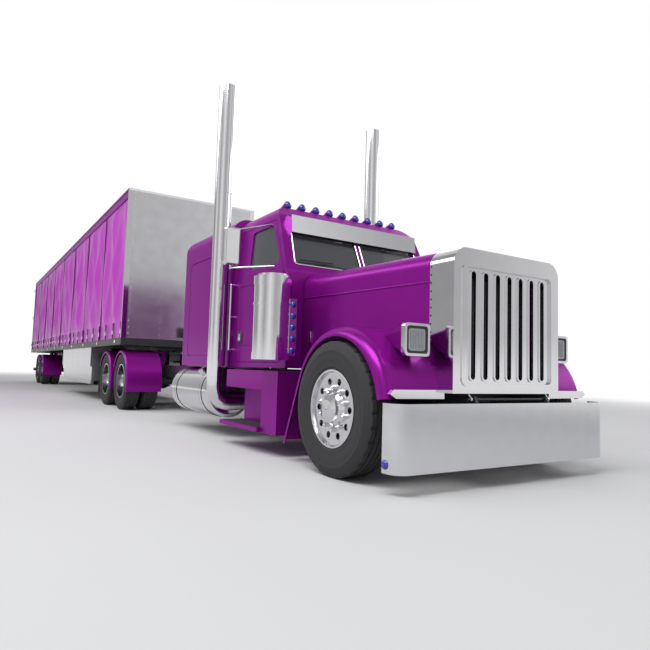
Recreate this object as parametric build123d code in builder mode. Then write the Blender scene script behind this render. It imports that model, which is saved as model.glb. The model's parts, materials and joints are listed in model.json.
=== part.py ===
"""Articulated lorry: a long-nosed sleeper tractor and a curtain-sided semi-trailer."""
import os
from math import acos, atan2, cos, degrees, hypot, radians, sin, sqrt

from build123d import *

os.makedirs("parts", exist_ok=True)

# Driving dimensions in mm. Stations run back from the front face of the bumper.
front_axle_s = 850.0
wheelbase = 7200.0
tandem_spacing = 1310.0
shell_front_s = 70.0
shell_depth = 260.0
hood_length = 1650.0
hood_gap = 12.0
cab_length = 1390.0
cab_gap = 20.0
sleeper_length = 1700.0
fifth_wheel_lead = 25.0
kingpin_setback = 910.0
trailer_length = 16140.0
trailer_axle_spacing = 1240.0
trailer_overhang = 2060.0
rear_door_thickness = 40.0
lock_rod_radius = 14.0
lock_rod_gap = 6.0

# Wheels and axles
front_tyre_radius = 540.0
front_tyre_width = 284.0
dual_tyre_radius = 525.0
dual_tyre_width = 274.0
dual_spacing = 330.0
rim_radius = 311.0
front_wheel_y = 1055.0
king_pin_y = 880.0
dual_y = 892.0
tyre_gap = 0.4
bearing_gap = 0.3

# Ladder frame
rail_outer_y = 430.0
rail_flange = 90.0
rail_web = 12.0
rail_bottom_z = 610.0
rail_height = 230.0
rail_front_s = 110.0

# Front end
bumper_half_width = 1190.0
bumper_bottom_z = 150.0
bumper_top_z = 630.0
bumper_thickness = 8.0
bumper_return = 170.0
shell_half_width = 620.0
shell_bottom_z = 700.0
shell_top_z = 1810.0
shell_corner = 130.0
shell_wall = 8.0
hood_rear_half_width = 800.0
hood_pivot_s = 60.0
hood_pivot_z = 655.0
hood_pin_radius = 12.0
fender_radius = 660.0
fender_sheet = 8.0
fender_half_width = 1160.0
fender_crown = 80.0
fender_tail_s = 1715.0
fender_tail_z = 195.0
grille_slots = 7

# Cab and sleeper
cab_half_width = 985.0
cab_roof_half_width = cab_half_width - 60
cab_bottom_z = 850.0
cab_belt_z = 1900.0
cab_roof_z = 2610.0
cab_wall = 45.0
door_gap = 6.0
hinge_radius = 9.0
hinge_clearance = 5.0
hinge_half = 60.0
door_hinges_z = (1080.0, 1720.0)
sleeper_half_width = cab_half_width + 15
sleeper_roof_z = 2660.0
sleeper_wall = 40.0
stack_radius = 104.0
stack_top_z = 4300.0
stack_y = sleeper_half_width + 125
tank_radius = 305.0
tank_y = 870.0
tank_z = 530.0

# Coupling and trailer
coupling_z = 1180.0
coupling_gap = 0.5
king_pin_radius = 25.4
trailer_half_width = 1275.0
rail_z = 1190.0
deck_z = 1320.0
floor_thickness = 28.0
roof_z = 4115.0
cant_rail_height = 165.0

# Stations that follow from the sizes above
hood_front_s = shell_front_s + shell_depth
hood_rear_s = hood_front_s + hood_length
cab_front_s = hood_rear_s + hood_gap
cab_back_s = cab_front_s + cab_length
sleeper_front_s = cab_back_s + cab_gap
sleeper_back_s = sleeper_front_s + sleeper_length
drive_front_s = front_axle_s + wheelbase
drive_rear_s = drive_front_s + tandem_spacing
kingpin_s = (drive_front_s + drive_rear_s) / 2 - fifth_wheel_lead
trailer_front_s = kingpin_s - kingpin_setback
trailer_back_s = trailer_front_s + trailer_length
trailer_rear_axle_s = trailer_back_s - trailer_overhang
trailer_front_axle_s = trailer_rear_axle_s - trailer_axle_spacing
rail_back_s = drive_rear_s + 560
overall_length = trailer_back_s + rear_door_thickness + lock_rod_gap + 2 * lock_rod_radius
rail_top_z = rail_bottom_z + rail_height
frame_inner_y = rail_outer_y - rail_flange
door_front_s = cab_front_s + 105
door_back_s = cab_back_s - 155
stack_s = sleeper_front_s + 65
floor_top_z = deck_z + floor_thickness


def x_at(station):
    """Length coordinate of a station behind the bumper."""
    return overall_length / 2 - station


def side_points(table):
    """Side-view points from rows of station and height."""
    return [(x_at(station), height) for station, height in table]


def block(s0, s1, y0, y1, z0, z1, mode=Mode.ADD):
    """A box between two stations, two widths and two heights."""
    with Locations((x_at((s0 + s1) / 2), (y0 + y1) / 2, (z0 + z1) / 2)):
        Box(abs(s1 - s0), abs(y1 - y0), abs(z1 - z0), mode=mode)


def bar_y(station, z, y0, y1, radius, mode=Mode.ADD):
    """A round bar across the vehicle."""
    with Locations(Location((x_at(station), (y0 + y1) / 2, z), (90, 0, 0))):
        Cylinder(radius, abs(y1 - y0), mode=mode)


def bar_x(s0, s1, y, z, radius, mode=Mode.ADD):
    """A round bar along the vehicle."""
    with Locations(Location((x_at((s0 + s1) / 2), y, z), (0, 90, 0))):
        Cylinder(radius, abs(s1 - s0), mode=mode)


def bar_z(station, y, z0, z1, radius, mode=Mode.ADD):
    """An upright round bar."""
    with Locations((x_at(station), y, (z0 + z1) / 2)):
        Cylinder(radius, abs(z1 - z0), mode=mode)


def save(builder, name):
    """Label a piece and write it out."""
    builder.part.label = name
    export_step(builder.part, f"parts/{name}.step")


# Tyres and wheels, turned about the Y axis with the outer side toward +Y
def tyre_face(radius, width, bore, centre):
    """Section of one tyre in the plane of radius and axle."""
    half = width / 2
    wall = radius - bore
    with BuildSketch() as face:
        with BuildLine():
            Line((bore, centre - 0.8 * half), (bore, centre + 0.8 * half))
            ThreePointArc(
                (bore, centre + 0.8 * half),
                (bore + 0.5 * wall, centre + half),
                (bore + 0.88 * wall, centre + 0.92 * half),
            )
            Polyline(
                (bore + 0.88 * wall, centre + 0.92 * half),
                (radius, centre + 0.78 * half),
                (radius, centre - 0.78 * half),
                (bore + 0.88 * wall, centre - 0.92 * half),
            )
            ThreePointArc(
                (bore + 0.88 * wall, centre - 0.92 * half),
                (bore + 0.5 * wall, centre - half),
                (bore, centre - 0.8 * half),
            )
        make_face()
    return face.sketch


front_tyre_section = tyre_face(front_tyre_radius, front_tyre_width, rim_radius + tyre_gap, 0)
dual_outer_section = tyre_face(dual_tyre_radius, dual_tyre_width, rim_radius + tyre_gap, dual_spacing / 2)
dual_inner_section = tyre_face(dual_tyre_radius, dual_tyre_width, rim_radius + tyre_gap, -dual_spacing / 2)

hand_hole_circle = 222.0
hand_hole_radius = 27.0
spindle_radius = 38.0
hub_radius = 128.0

with BuildPart() as front_tyre:
    add(front_tyre_section)
    revolve(axis=Axis.Y)

with BuildPart() as front_wheel:
    with BuildSketch():
        with BuildLine():
            Polyline(
                (spindle_radius + bearing_gap, -70),
                (hub_radius, -70),
                (hub_radius, 62),
                (282, 78),
                (294, 60),
                (296, -122),
                (rim_radius, -122),
                (rim_radius, 122),
                (298, 122),
                (288, 96),
                (150, 92),
                (132, 112),
                (118, 128),
                (112, 150),
                (70, 164),
                (0, 168),
                (0, 100),
                (spindle_radius + bearing_gap, 100),
                close=True,
            )
        make_face()
    revolve(axis=Axis.Y)
    with BuildSketch(Plane.XZ):
        with PolarLocations(hand_hole_circle, 10):
            Circle(hand_hole_radius)
    extrude(amount=-130, mode=Mode.SUBTRACT)

with BuildPart() as dual_wheel:
    with BuildSketch():
        with BuildLine():
            Polyline(
                (spindle_radius + bearing_gap, -190),
                (hub_radius, -190),
                (hub_radius, -14),
                (290, -14),
                (297, -150),
                (297, -dual_spacing / 2 - 118),
                (rim_radius, -dual_spacing / 2 - 118),
                (rim_radius, dual_spacing / 2 + 118),
                (297, dual_spacing / 2 + 118),
                (297, 150),
                (290, 14),
                (hub_radius + 10, 14),
                (hub_radius, 30),
                (118, 120),
                (90, 150),
                (0, 160),
                (0, 60),
                (spindle_radius + bearing_gap, 60),
                close=True,
            )
        make_face()
    revolve(axis=Axis.Y)
    with BuildSketch(Plane.XZ.offset(-40)):
        with PolarLocations(hand_hole_circle, 10):
            Circle(hand_hole_radius)
    extrude(amount=80, mode=Mode.SUBTRACT)

with BuildPart() as dual_set:
    add(dual_outer_section)
    add(dual_inner_section)
    revolve(axis=Axis.Y)
    add(dual_wheel.part)

with BuildPart() as front_tyre_left:
    with Locations((x_at(front_axle_s), front_wheel_y, front_tyre_radius)):
        add(front_tyre.part)
save(front_tyre_left, "front_tyre_left")
with BuildPart() as front_tyre_right:
    mirror(front_tyre_left.part, about=Plane.XZ)
save(front_tyre_right, "front_tyre_right")

with BuildPart() as front_wheel_left:
    with Locations((x_at(front_axle_s), front_wheel_y, front_tyre_radius)):
        add(front_wheel.part)
save(front_wheel_left, "front_wheel_left")
with BuildPart() as front_wheel_right:
    mirror(front_wheel_left.part, about=Plane.XZ)
save(front_wheel_right, "front_wheel_right")

# Each row holds the axle's name and its station
dual_axles = [
    ("drive_wheels_front", drive_front_s),
    ("drive_wheels_rear", drive_rear_s),
    ("trailer_wheels_front", trailer_front_axle_s),
    ("trailer_wheels_rear", trailer_rear_axle_s),
]
for axle_name, axle_s in dual_axles:
    with BuildPart() as dual_left:
        with Locations((x_at(axle_s), dual_y, dual_tyre_radius)):
            add(dual_set.part)
    save(dual_left, f"{axle_name}_left")
    with BuildPart() as dual_right:
        mirror(dual_left.part, about=Plane.XZ)
    save(dual_right, f"{axle_name}_right")

# Tractor frame with bumper brackets and the hood's pivot pin
bracket_outline = side_points([
    (bumper_thickness, 300),
    (bumper_thickness, bumper_top_z - 20),
    (hood_pivot_s - 24, hood_pivot_z + 24),
    (hood_pivot_s + 40, hood_pivot_z + 24),
    (rail_front_s + 30, rail_bottom_z + 100),
    (rail_front_s + 200, rail_bottom_z + 100),
    (rail_front_s + 200, rail_bottom_z),
    (200, 300),
])
# Each row holds a cross-member's station and its lower and upper height
cross_members = [
    (410, 640, 690),
    (2900, 690, 800),
    (4300, 690, 800),
    (5800, 690, 800),
    (7250, 690, 800),
    (drive_front_s + tandem_spacing / 2, 690, 800),
    (rail_back_s - 60, 640, 820),
]
# Stations of the pads that carry cab and sleeper
pad_stations = [cab_front_s + 200, cab_back_s - 200, sleeper_front_s + 250, sleeper_back_s - 250]

with BuildPart() as frame:
    with BuildSketch(Plane.YZ.offset(x_at(rail_back_s))):
        with BuildLine():
            Polyline(
                (rail_outer_y, rail_bottom_z),
                (rail_outer_y, rail_top_z),
                (frame_inner_y, rail_top_z),
                (frame_inner_y, rail_top_z - rail_web),
                (rail_outer_y - rail_web, rail_top_z - rail_web),
                (rail_outer_y - rail_web, rail_bottom_z + rail_web),
                (frame_inner_y, rail_bottom_z + rail_web),
                (frame_inner_y, rail_bottom_z),
                close=True,
            )
        make_face()
    extrude(amount=rail_back_s - rail_front_s)
    with BuildSketch(Plane.XZ.offset(-rail_outer_y)):
        with BuildLine():
            Polyline(*bracket_outline, close=True)
        make_face()
    extrude(amount=25)
    for pad_s in pad_stations:
        block(pad_s - 60, pad_s + 60, frame_inner_y, rail_outer_y, rail_top_z, cab_bottom_z)
    mirror(about=Plane.XZ)
    for member_s, member_z0, member_z1 in cross_members:
        block(
            member_s - 45, member_s + 45,
            -rail_outer_y + rail_web / 2, rail_outer_y - rail_web / 2,
            member_z0, member_z1,
        )
    bar_y(hood_pivot_s, hood_pivot_z, -480, 480, hood_pin_radius)
save(frame, "frame")

# Bumper: one tall plate with its ends wrapped back
with BuildPart() as bumper:
    with BuildSketch(Plane.XY.offset(bumper_bottom_z)):
        with BuildLine():
            FilletPolyline(
                (x_at(bumper_return), -bumper_half_width),
                (x_at(0), -bumper_half_width),
                (x_at(0), bumper_half_width),
                (x_at(bumper_return), bumper_half_width),
                radius=110,
            )
            offset(amount=bumper_thickness, side=Side.LEFT)
        make_face()
    extrude(amount=bumper_top_z - bumper_bottom_z)
save(bumper, "bumper")

# Front axle with its leaf springs
with BuildPart() as front_axle:
    with BuildSketch(Plane.XZ):
        with Locations((x_at(front_axle_s), 415)):
            Rectangle(110, 100)
    extrude(amount=660, both=True)
    with BuildSketch(Plane.YZ.offset(x_at(front_axle_s) - 50)):
        with BuildLine():
            Polyline(
                (560, 365),
                (560, 465),
                (king_pin_y - 170, 590),
                (king_pin_y, 590),
                (king_pin_y, 490),
                (king_pin_y - 150, 490),
                (640, 365),
                close=True,
            )
        make_face()
    extrude(amount=100)
    bar_z(front_axle_s, king_pin_y, 485, 595, 50)
    bar_z(front_axle_s, king_pin_y, 400, 700, 26 + bearing_gap, mode=Mode.SUBTRACT)
    with BuildSketch(Plane.XZ.offset(-rail_outer_y)):
        with BuildLine():
            spring_low = ThreePointArc(
                (x_at(front_axle_s - 520), 560),
                (x_at(front_axle_s), 455),
                (x_at(front_axle_s + 520), 560),
            )
            spring_high = ThreePointArc(
                (x_at(front_axle_s - 520), 610),
                (x_at(front_axle_s), 510),
                (x_at(front_axle_s + 520), 610),
            )
            Line(spring_low @ 0, spring_high @ 0)
            Line(spring_low @ 1, spring_high @ 1)
        make_face()
    extrude(amount=rail_flange)
    mirror(about=Plane.XZ)
save(front_axle, "front_axle")

# Steering knuckles: a yoke round the axle end, its king pin and the wheel's spindle
with BuildPart() as knuckle_left:
    bar_z(front_axle_s, king_pin_y, 400, 680, 26)
    for yoke_z0, yoke_z1 in [(420, 480), (600, 660)]:
        bar_z(front_axle_s, king_pin_y, yoke_z0, yoke_z1, 58)
        block(
            front_axle_s - 45, front_axle_s + 45,
            king_pin_y, front_wheel_y - 74, yoke_z0, yoke_z1,
        )
    block(
        front_axle_s - 45, front_axle_s + 45,
        king_pin_y + 70, front_wheel_y - 74, 420, 660,
    )
    bar_y(front_axle_s, front_tyre_radius, front_wheel_y - 90, front_wheel_y + 90, spindle_radius)
save(knuckle_left, "knuckle_left")
with BuildPart() as knuckle_right:
    mirror(knuckle_left.part, about=Plane.XZ)
save(knuckle_right, "knuckle_right")

# Driven axles: tubes with a bowl in the middle and spring seats under the rails
axle_bowl_radius = 190.0
with BuildPart() as drive_axles:
    for axle_s in (drive_front_s, drive_rear_s):
        bar_y(axle_s, dual_tyre_radius, -dual_y + 200, dual_y - 200, 62)
        bar_y(axle_s, dual_tyre_radius, -dual_y - 50, dual_y + 50, spindle_radius)
        with Locations((x_at(axle_s), 0, dual_tyre_radius)):
            Sphere(axle_bowl_radius)
        for seat_y in (-385, 385):
            block(axle_s - 70, axle_s + 70, seat_y - 45, seat_y + 45, dual_tyre_radius, rail_bottom_z)
save(drive_axles, "drive_axles")

# Engine and gearbox as one plain block, with the propeller shaft
engine_front_s = hood_front_s + 230
engine_back_s = hood_rear_s - 100
gearbox_back_s = engine_back_s + 780
with BuildPart() as engine:
    block(engine_front_s, engine_back_s, -300, 300, 560, 1480)
    block(engine_back_s, gearbox_back_s, -210, 210, 480, rail_top_z - 20)
    with BuildSketch(Plane.YZ.offset(x_at(gearbox_back_s))):
        with Locations((0, 585)):
            Circle(60)
    extrude(amount=-(drive_front_s - gearbox_back_s - axle_bowl_radius - 0.3))
save(engine, "engine")

# Radiator standing on the front cross-member
with BuildPart() as radiator:
    block(360, 450, -330, 330, 690, 850)
    block(360, 450, -520, 520, rail_top_z, 1640)
save(radiator, "radiator")

# Hood: a ruled shell from the radiator surround back to the cowl
hood_wheel_arch = fender_radius - fender_sheet


def hood_volume(inset):
    """Filled hood shape, drawn in by the given wall."""
    with BuildPart() as volume:
        for station, half in ((hood_front_s, shell_half_width), (hood_rear_s, hood_rear_half_width)):
            bottom = shell_bottom_z - inset
            top = shell_top_z - inset
            with BuildSketch(Plane.YZ.offset(x_at(station))) as section:
                with Locations((0, (bottom + top) / 2)):
                    Rectangle(2 * (half - inset), top - bottom)
                fillet(section.vertices().group_by(Axis.Y)[-1], shell_corner - inset)
        loft(ruled=True)
    return volume.part


hood_outer = hood_volume(0)
hood_inner = hood_volume(shell_wall)

with BuildPart() as hood:
    add(hood_outer)
    add(hood_inner, mode=Mode.SUBTRACT)
    bar_y(front_axle_s, front_tyre_radius, -1300, 1300, hood_wheel_arch, mode=Mode.SUBTRACT)
    block(
        front_axle_s, hood_rear_s + 10, -1300, 1300,
        shell_bottom_z - 10, cab_bottom_z - 10, mode=Mode.SUBTRACT,
    )
save(hood, "hood")

# Front fenders: turned over the wheel, then straight down to the tail
arch_front_deg = 10.0
tail_along = front_axle_s - fender_tail_s
tail_down = fender_tail_z - front_tyre_radius
tail_reach = hypot(tail_along, tail_down)
arch_rear_deg = degrees(atan2(tail_down, tail_along)) + 360 - degrees(acos(fender_radius / tail_reach))
tail_length = sqrt(tail_reach**2 - fender_radius**2)
lamp_y = 840.0
lamp_z = 1090.0
lamp_size = 245.0
lamp_front_s = 215.0
lamp_depth = 42.0


def fender_plane(angle):
    """Plane through the front axle's line, turned up from straight ahead."""
    turn = radians(angle)
    return Plane(
        origin=(x_at(front_axle_s), 0, front_tyre_radius),
        x_dir=(cos(turn), 0, sin(turn)),
        z_dir=(-sin(turn), 0, cos(turn)),
    )


def fender_section(angle):
    """Sheet section of the fender with its rolled outer edge."""
    with BuildSketch(fender_plane(angle)) as section:
        with BuildLine():
            crown_y = fender_half_width - fender_crown
            crown_r = fender_radius - fender_crown
            inner = fender_crown - fender_sheet
            Line((fender_radius, shell_half_width), (fender_radius, crown_y))
            CenterArc((crown_r, crown_y), fender_crown, 0, 90)
            Line((crown_r, fender_half_width), (crown_r, fender_half_width - fender_sheet))
            CenterArc((crown_r, crown_y), inner, 0, 90)
            Line((crown_r + inner, crown_y), (crown_r + inner, shell_half_width))
            Line((crown_r + inner, shell_half_width), (fender_radius, shell_half_width))
        make_face()
    return section.sketch


fender_start = fender_section(arch_front_deg)
fender_end = fender_section(arch_rear_deg)
fender_axis = Axis((x_at(front_axle_s), 0, front_tyre_radius), (0, -1, 0))

with BuildPart() as fenders:
    add(fender_start)
    revolve(axis=fender_axis, revolution_arc=arch_rear_deg - arch_front_deg)
    extrude(fender_end, amount=tail_length)
    with BuildSketch(Plane.YZ.offset(x_at(lamp_front_s + lamp_depth))):
        with Locations((lamp_y, lamp_z)):
            RectangleRounded(lamp_size - 20, lamp_size - 20, 40)
    with BuildSketch(Plane.YZ.offset(x_at(lamp_front_s + 330))):
        with Locations((lamp_y, lamp_z + 20)):
            RectangleRounded(100, 100, 40)
    loft(ruled=True)
    add(hood_outer, mode=Mode.SUBTRACT)
    mirror(about=Plane.XZ)
save(fenders, "fenders")

# Radiator surround, its lower trim strips and the hood's pivot lugs
opening_half_width = 515.0
opening_bottom_z = 775.0
opening_top_z = 1665.0
opening_z = (opening_bottom_z + opening_top_z) / 2
opening_height = opening_top_z - opening_bottom_z
face_depth = 12.0
lug_y = 452.0

with BuildPart() as grille_shell:
    with BuildSketch(Plane.YZ.offset(x_at(hood_front_s))) as shell_outer:
        with Locations((0, (shell_bottom_z + shell_top_z) / 2)):
            Rectangle(2 * shell_half_width, shell_top_z - shell_bottom_z)
        fillet(shell_outer.vertices().group_by(Axis.Y)[-1], shell_corner)
    extrude(amount=shell_depth)
    with BuildSketch(Plane.YZ.offset(x_at(hood_front_s))) as shell_inner:
        with Locations((0, (shell_bottom_z + shell_top_z) / 2 - shell_wall)):
            Rectangle(2 * (shell_half_width - shell_wall), shell_top_z - shell_bottom_z)
        fillet(shell_inner.vertices().group_by(Axis.Y)[-1], shell_corner - shell_wall)
    extrude(amount=shell_depth - face_depth, mode=Mode.SUBTRACT)
    with BuildSketch(Plane.YZ.offset(x_at(hood_front_s))):
        with Locations((0, opening_z)):
            RectangleRounded(2 * opening_half_width, opening_height, 45)
    extrude(amount=shell_depth + 20, mode=Mode.SUBTRACT)
    with BuildSketch(Plane.YZ.offset(x_at(shell_front_s))):
        with Locations((0, opening_z)):
            RectangleRounded(2 * opening_half_width + 44, opening_height + 44, 60)
            RectangleRounded(2 * opening_half_width, opening_height, 45, mode=Mode.SUBTRACT)
    extrude(amount=9)
    for strip_side in (-1, 1):
        with BuildSketch(Plane.YZ.offset(x_at(195))):
            with BuildLine():
                Polyline(
                    (strip_side * (shell_half_width - 4), 655),
                    (strip_side * 1080, 658),
                    (strip_side * 1135, 690),
                    (strip_side * 1100, 722),
                    (strip_side * (shell_half_width - 4), 722),
                    close=True,
                )
            make_face()
        extrude(amount=36)
        with BuildSketch(Plane.XZ.offset(-strip_side * lug_y)):
            with BuildLine():
                Polyline(
                    *side_points([
                        (hood_pivot_s - 22, hood_pivot_z),
                        (hood_pivot_s + 22, hood_pivot_z),
                        (hood_pivot_s + 30, shell_bottom_z + 50),
                        (shell_front_s + 4, shell_bottom_z + 50),
                        (shell_front_s + 4, shell_bottom_z),
                    ]),
                    close=True,
                )
            make_face()
            with Locations((x_at(hood_pivot_s), hood_pivot_z)):
                Circle(22)
                Circle(hood_pin_radius + bearing_gap, mode=Mode.SUBTRACT)
        extrude(amount=8, both=True)
save(grille_shell, "grille_shell")

# Grille plate with upright slots, each inside a raised rim
slot_pitch = 2 * opening_half_width / (grille_slots + 0.6)
slot_width = 48.0
slot_length = opening_height - 60
with BuildPart() as grille:
    with BuildSketch(Plane.YZ.offset(x_at(shell_front_s + face_depth))):
        with Locations((0, opening_z)):
            RectangleRounded(2 * opening_half_width + 40, opening_height + 40, 55)
    extrude(amount=-8)
    with BuildSketch(Plane.YZ.offset(x_at(shell_front_s + face_depth))):
        with GridLocations(slot_pitch, 1, grille_slots, 1):
            with Locations((0, opening_z)):
                SlotOverall(slot_length + 26, slot_width + 26, rotation=90)
    extrude(amount=9)
    with BuildSketch(Plane.YZ.offset(x_at(shell_front_s + face_depth + 20))):
        with GridLocations(slot_pitch, 1, grille_slots, 1):
            with Locations((0, opening_z)):
                SlotOverall(slot_length, slot_width, rotation=90)
    extrude(amount=40, mode=Mode.SUBTRACT)
save(grille, "grille")

# Headlamps: stepped square bezels with lenses let in
with BuildPart() as headlamps:
    for lamp_side in (-1, 1):
        with BuildSketch(Plane.YZ.offset(x_at(lamp_front_s + lamp_depth))):
            with Locations((lamp_side * lamp_y, lamp_z)):
                RectangleRounded(lamp_size, lamp_size, 30)
        extrude(amount=lamp_depth)
        for pocket_size, pocket_depth in ((lamp_size - 40, 8), (lamp_size - 80, 26)):
            with BuildSketch(Plane.YZ.offset(x_at(lamp_front_s + pocket_depth))):
                with Locations((lamp_side * lamp_y, lamp_z)):
                    RectangleRounded(pocket_size, pocket_size, 22)
            extrude(amount=pocket_depth + 1, mode=Mode.SUBTRACT)
save(headlamps, "headlamps")

with BuildPart() as headlamp_lenses:
    for lamp_side in (-1, 1):
        with BuildSketch(Plane.YZ.offset(x_at(lamp_front_s + 26))):
            with Locations((lamp_side * lamp_y, lamp_z)):
                RectangleRounded(lamp_size - 82, lamp_size - 82, 21)
        extrude(amount=20)
save(headlamp_lenses, "headlamp_lenses")

# Cab: side outline and front outline crossed, then hollowed
windscreen_foot_s = cab_front_s + 35
windscreen_head_s = cab_front_s + 330
cab_side = side_points([
    (cab_front_s, cab_bottom_z),
    (cab_front_s, cab_belt_z - 80),
    (windscreen_foot_s, cab_belt_z - 50),
    (windscreen_head_s, cab_roof_z - 130),
    (windscreen_head_s + 150, cab_roof_z),
    (cab_back_s, cab_roof_z),
    (cab_back_s, cab_bottom_z),
])
cab_front = [
    (-cab_half_width, cab_bottom_z),
    (cab_half_width, cab_bottom_z),
    (cab_half_width, cab_belt_z),
    (cab_roof_half_width, cab_roof_z),
    (-cab_roof_half_width, cab_roof_z),
    (-cab_half_width, cab_belt_z),
]


def cab_volume(inset):
    """Filled cab shape, drawn in by the given wall."""
    with BuildPart() as volume:
        with BuildSketch(Plane.XZ) as side:
            with BuildLine():
                Polyline(*cab_side, close=True)
            make_face()
            fillet(side.vertices().group_by(Axis.Y)[-2:-1][0], 150)
            if inset:
                offset(amount=-inset, kind=Kind.INTERSECTION)
        extrude(amount=cab_half_width + 50, both=True)
        with BuildSketch(Plane.YZ.offset(x_at(cab_back_s + 50))) as front:
            with BuildLine():
                Polyline(*cab_front, close=True)
            make_face()
            fillet(front.vertices().group_by(Axis.Y)[-1], 150)
            if inset:
                offset(amount=-inset, kind=Kind.INTERSECTION)
        extrude(amount=cab_length + 100, mode=Mode.INTERSECT)
    return volume.part


cab_outer = cab_volume(0)
cab_inner = cab_volume(cab_wall)
glass_outer = cab_volume(16)
glass_inner = cab_volume(24)

door_outline = side_points([
    (door_front_s, cab_bottom_z + cab_wall + 15),
    (door_back_s, cab_bottom_z + cab_wall + 15),
    (door_back_s, cab_roof_z - 175),
    (windscreen_head_s + 60, cab_roof_z - 175),
    (door_front_s, cab_belt_z - 40),
])
window_outline = side_points([
    (door_front_s + 85, cab_belt_z + 40),
    (door_back_s - 300, cab_belt_z + 40),
    (door_back_s - 300, cab_roof_z - 225),
    (windscreen_head_s + 115, cab_roof_z - 225),
])


def side_prism(outline, grow, corner):
    """A left-hand cutter through the cab's side from a side-view outline."""
    with BuildPart() as prism:
        with BuildSketch(Plane.XZ.offset(-cab_half_width - 40)) as face:
            with BuildLine():
                Polyline(*outline, close=True)
            make_face()
            fillet(face.vertices(), corner)
            if grow:
                offset(amount=grow)
        extrude(amount=300)
    return prism.part


door_cutter = side_prism(door_outline, 0, 60)
door_hole = side_prism(door_outline, door_gap, 60)
window_cutter = side_prism(window_outline, 0, 45)

# Each windscreen pane runs from beside the middle post to the corner post
with BuildPart() as pane_cutter:
    with BuildSketch(Plane.YZ.offset(x_at(windscreen_head_s + 40))) as pane:
        with BuildLine():
            Polyline(
                (28, cab_belt_z + 10),
                (cab_half_width - 110, cab_belt_z + 10),
                (cab_half_width - 160, cab_roof_z - 200),
                (28, cab_roof_z - 180),
                close=True,
            )
        make_face()
        fillet(pane.vertices(), 40)
    extrude(amount=500)
    mirror(about=Plane.XZ)

# Roof lamps: a row of nine across the front of the roof
roof_lamp_s = windscreen_head_s + 190
roof_lamp_z = cab_roof_z + 45
roof_lamp_pitch = cab_roof_half_width / 5
roof_lamps = 9

with BuildPart() as cab:
    add(cab_outer)
    add(cab_inner, mode=Mode.SUBTRACT)
    add(door_hole, mode=Mode.SUBTRACT)
    add(mirror(door_hole, about=Plane.XZ, mode=Mode.PRIVATE), mode=Mode.SUBTRACT)
    add(pane_cutter.part, mode=Mode.SUBTRACT)
    block(cab_back_s - 100, cab_back_s + 10, -450, 450, cab_bottom_z + 150, 2350, mode=Mode.SUBTRACT)
    for lamp_number in range(roof_lamps):
        roof_lamp_y = (lamp_number - (roof_lamps - 1) / 2) * roof_lamp_pitch
        with BuildSketch(Plane.YZ.offset(x_at(roof_lamp_s))):
            with Locations((roof_lamp_y, roof_lamp_z)):
                Circle(46)
        with BuildSketch(Plane.YZ.offset(x_at(roof_lamp_s + 220))):
            with Locations((roof_lamp_y, roof_lamp_z - 30)):
                Circle(14)
        loft(ruled=True)
        block(
            roof_lamp_s + 10, roof_lamp_s + 110,
            roof_lamp_y - 16, roof_lamp_y + 16, cab_roof_z - 20, roof_lamp_z,
        )
    for hinge_side in (-1, 1):
        for hinge_z in door_hinges_z:
            hinge_y = hinge_side * cab_half_width
            bar_z(
                door_front_s, hinge_y,
                hinge_z - hinge_half - bearing_gap, hinge_z + hinge_half + bearing_gap,
                hinge_radius + hinge_clearance, mode=Mode.SUBTRACT,
            )
            for barrel_end in (-1, 1):
                bar_z(
                    door_front_s, hinge_y,
                    hinge_z + barrel_end * (hinge_half + bearing_gap), hinge_z + barrel_end * 2 * hinge_half,
                    hinge_radius,
                )
save(cab, "cab")

with BuildPart() as windscreen:
    add(glass_outer)
    add(glass_inner, mode=Mode.SUBTRACT)
    add(pane_cutter.part, mode=Mode.INTERSECT)
save(windscreen, "windscreen")

# Doors with the inner front edge taken off so that they swing clear of the post
with BuildPart() as cab_door_left:
    add(cab_outer)
    add(cab_inner, mode=Mode.SUBTRACT)
    add(door_cutter, mode=Mode.INTERSECT)
    add(window_cutter, mode=Mode.SUBTRACT)
    with BuildSketch(Plane.XY.offset(cab_bottom_z)):
        with BuildLine():
            Polyline(
                (x_at(door_front_s - 5), cab_half_width - 10),
                (x_at(door_front_s - 5), cab_half_width - 120),
                (x_at(door_front_s + 100), cab_half_width - 120),
                (x_at(door_front_s + 100), cab_half_width - cab_wall - 1),
                close=True,
            )
        make_face()
    extrude(amount=cab_belt_z - cab_bottom_z, mode=Mode.SUBTRACT)
    for hinge_z in door_hinges_z:
        for barrel_end in (-1, 1):
            bar_z(
                door_front_s, cab_half_width,
                hinge_z + barrel_end * hinge_half, hinge_z + barrel_end * (2 * hinge_half + hinge_clearance),
                hinge_radius + hinge_clearance, mode=Mode.SUBTRACT,
            )
        bar_z(door_front_s, cab_half_width, hinge_z - hinge_half, hinge_z + hinge_half, hinge_radius)
save(cab_door_left, "cab_door_left")
with BuildPart() as cab_door_right:
    mirror(cab_door_left.part, about=Plane.XZ)
save(cab_door_right, "cab_door_right")

with BuildPart() as door_glass_left:
    add(glass_outer)
    add(glass_inner, mode=Mode.SUBTRACT)
    add(window_cutter, mode=Mode.INTERSECT)
save(door_glass_left, "door_glass_left")
with BuildPart() as door_glass_right:
    mirror(door_glass_left.part, about=Plane.XZ)
save(door_glass_right, "door_glass_right")

# Mirrors: an upright head on a post held by two arms from the door
mirror_s = door_front_s + 430
mirror_y = cab_half_width + 405
mirror_low_z = cab_belt_z
mirror_corner = 24.0
mirror_high_z = mirror_low_z + 400
# Each row holds an arm's foot station and height on the door and its height on the post
mirror_arms = [
    (door_front_s + 190, cab_belt_z + 22, mirror_low_z - 25),
    (door_front_s + 400, cab_roof_z - 200, mirror_high_z - 30),
]


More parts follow.
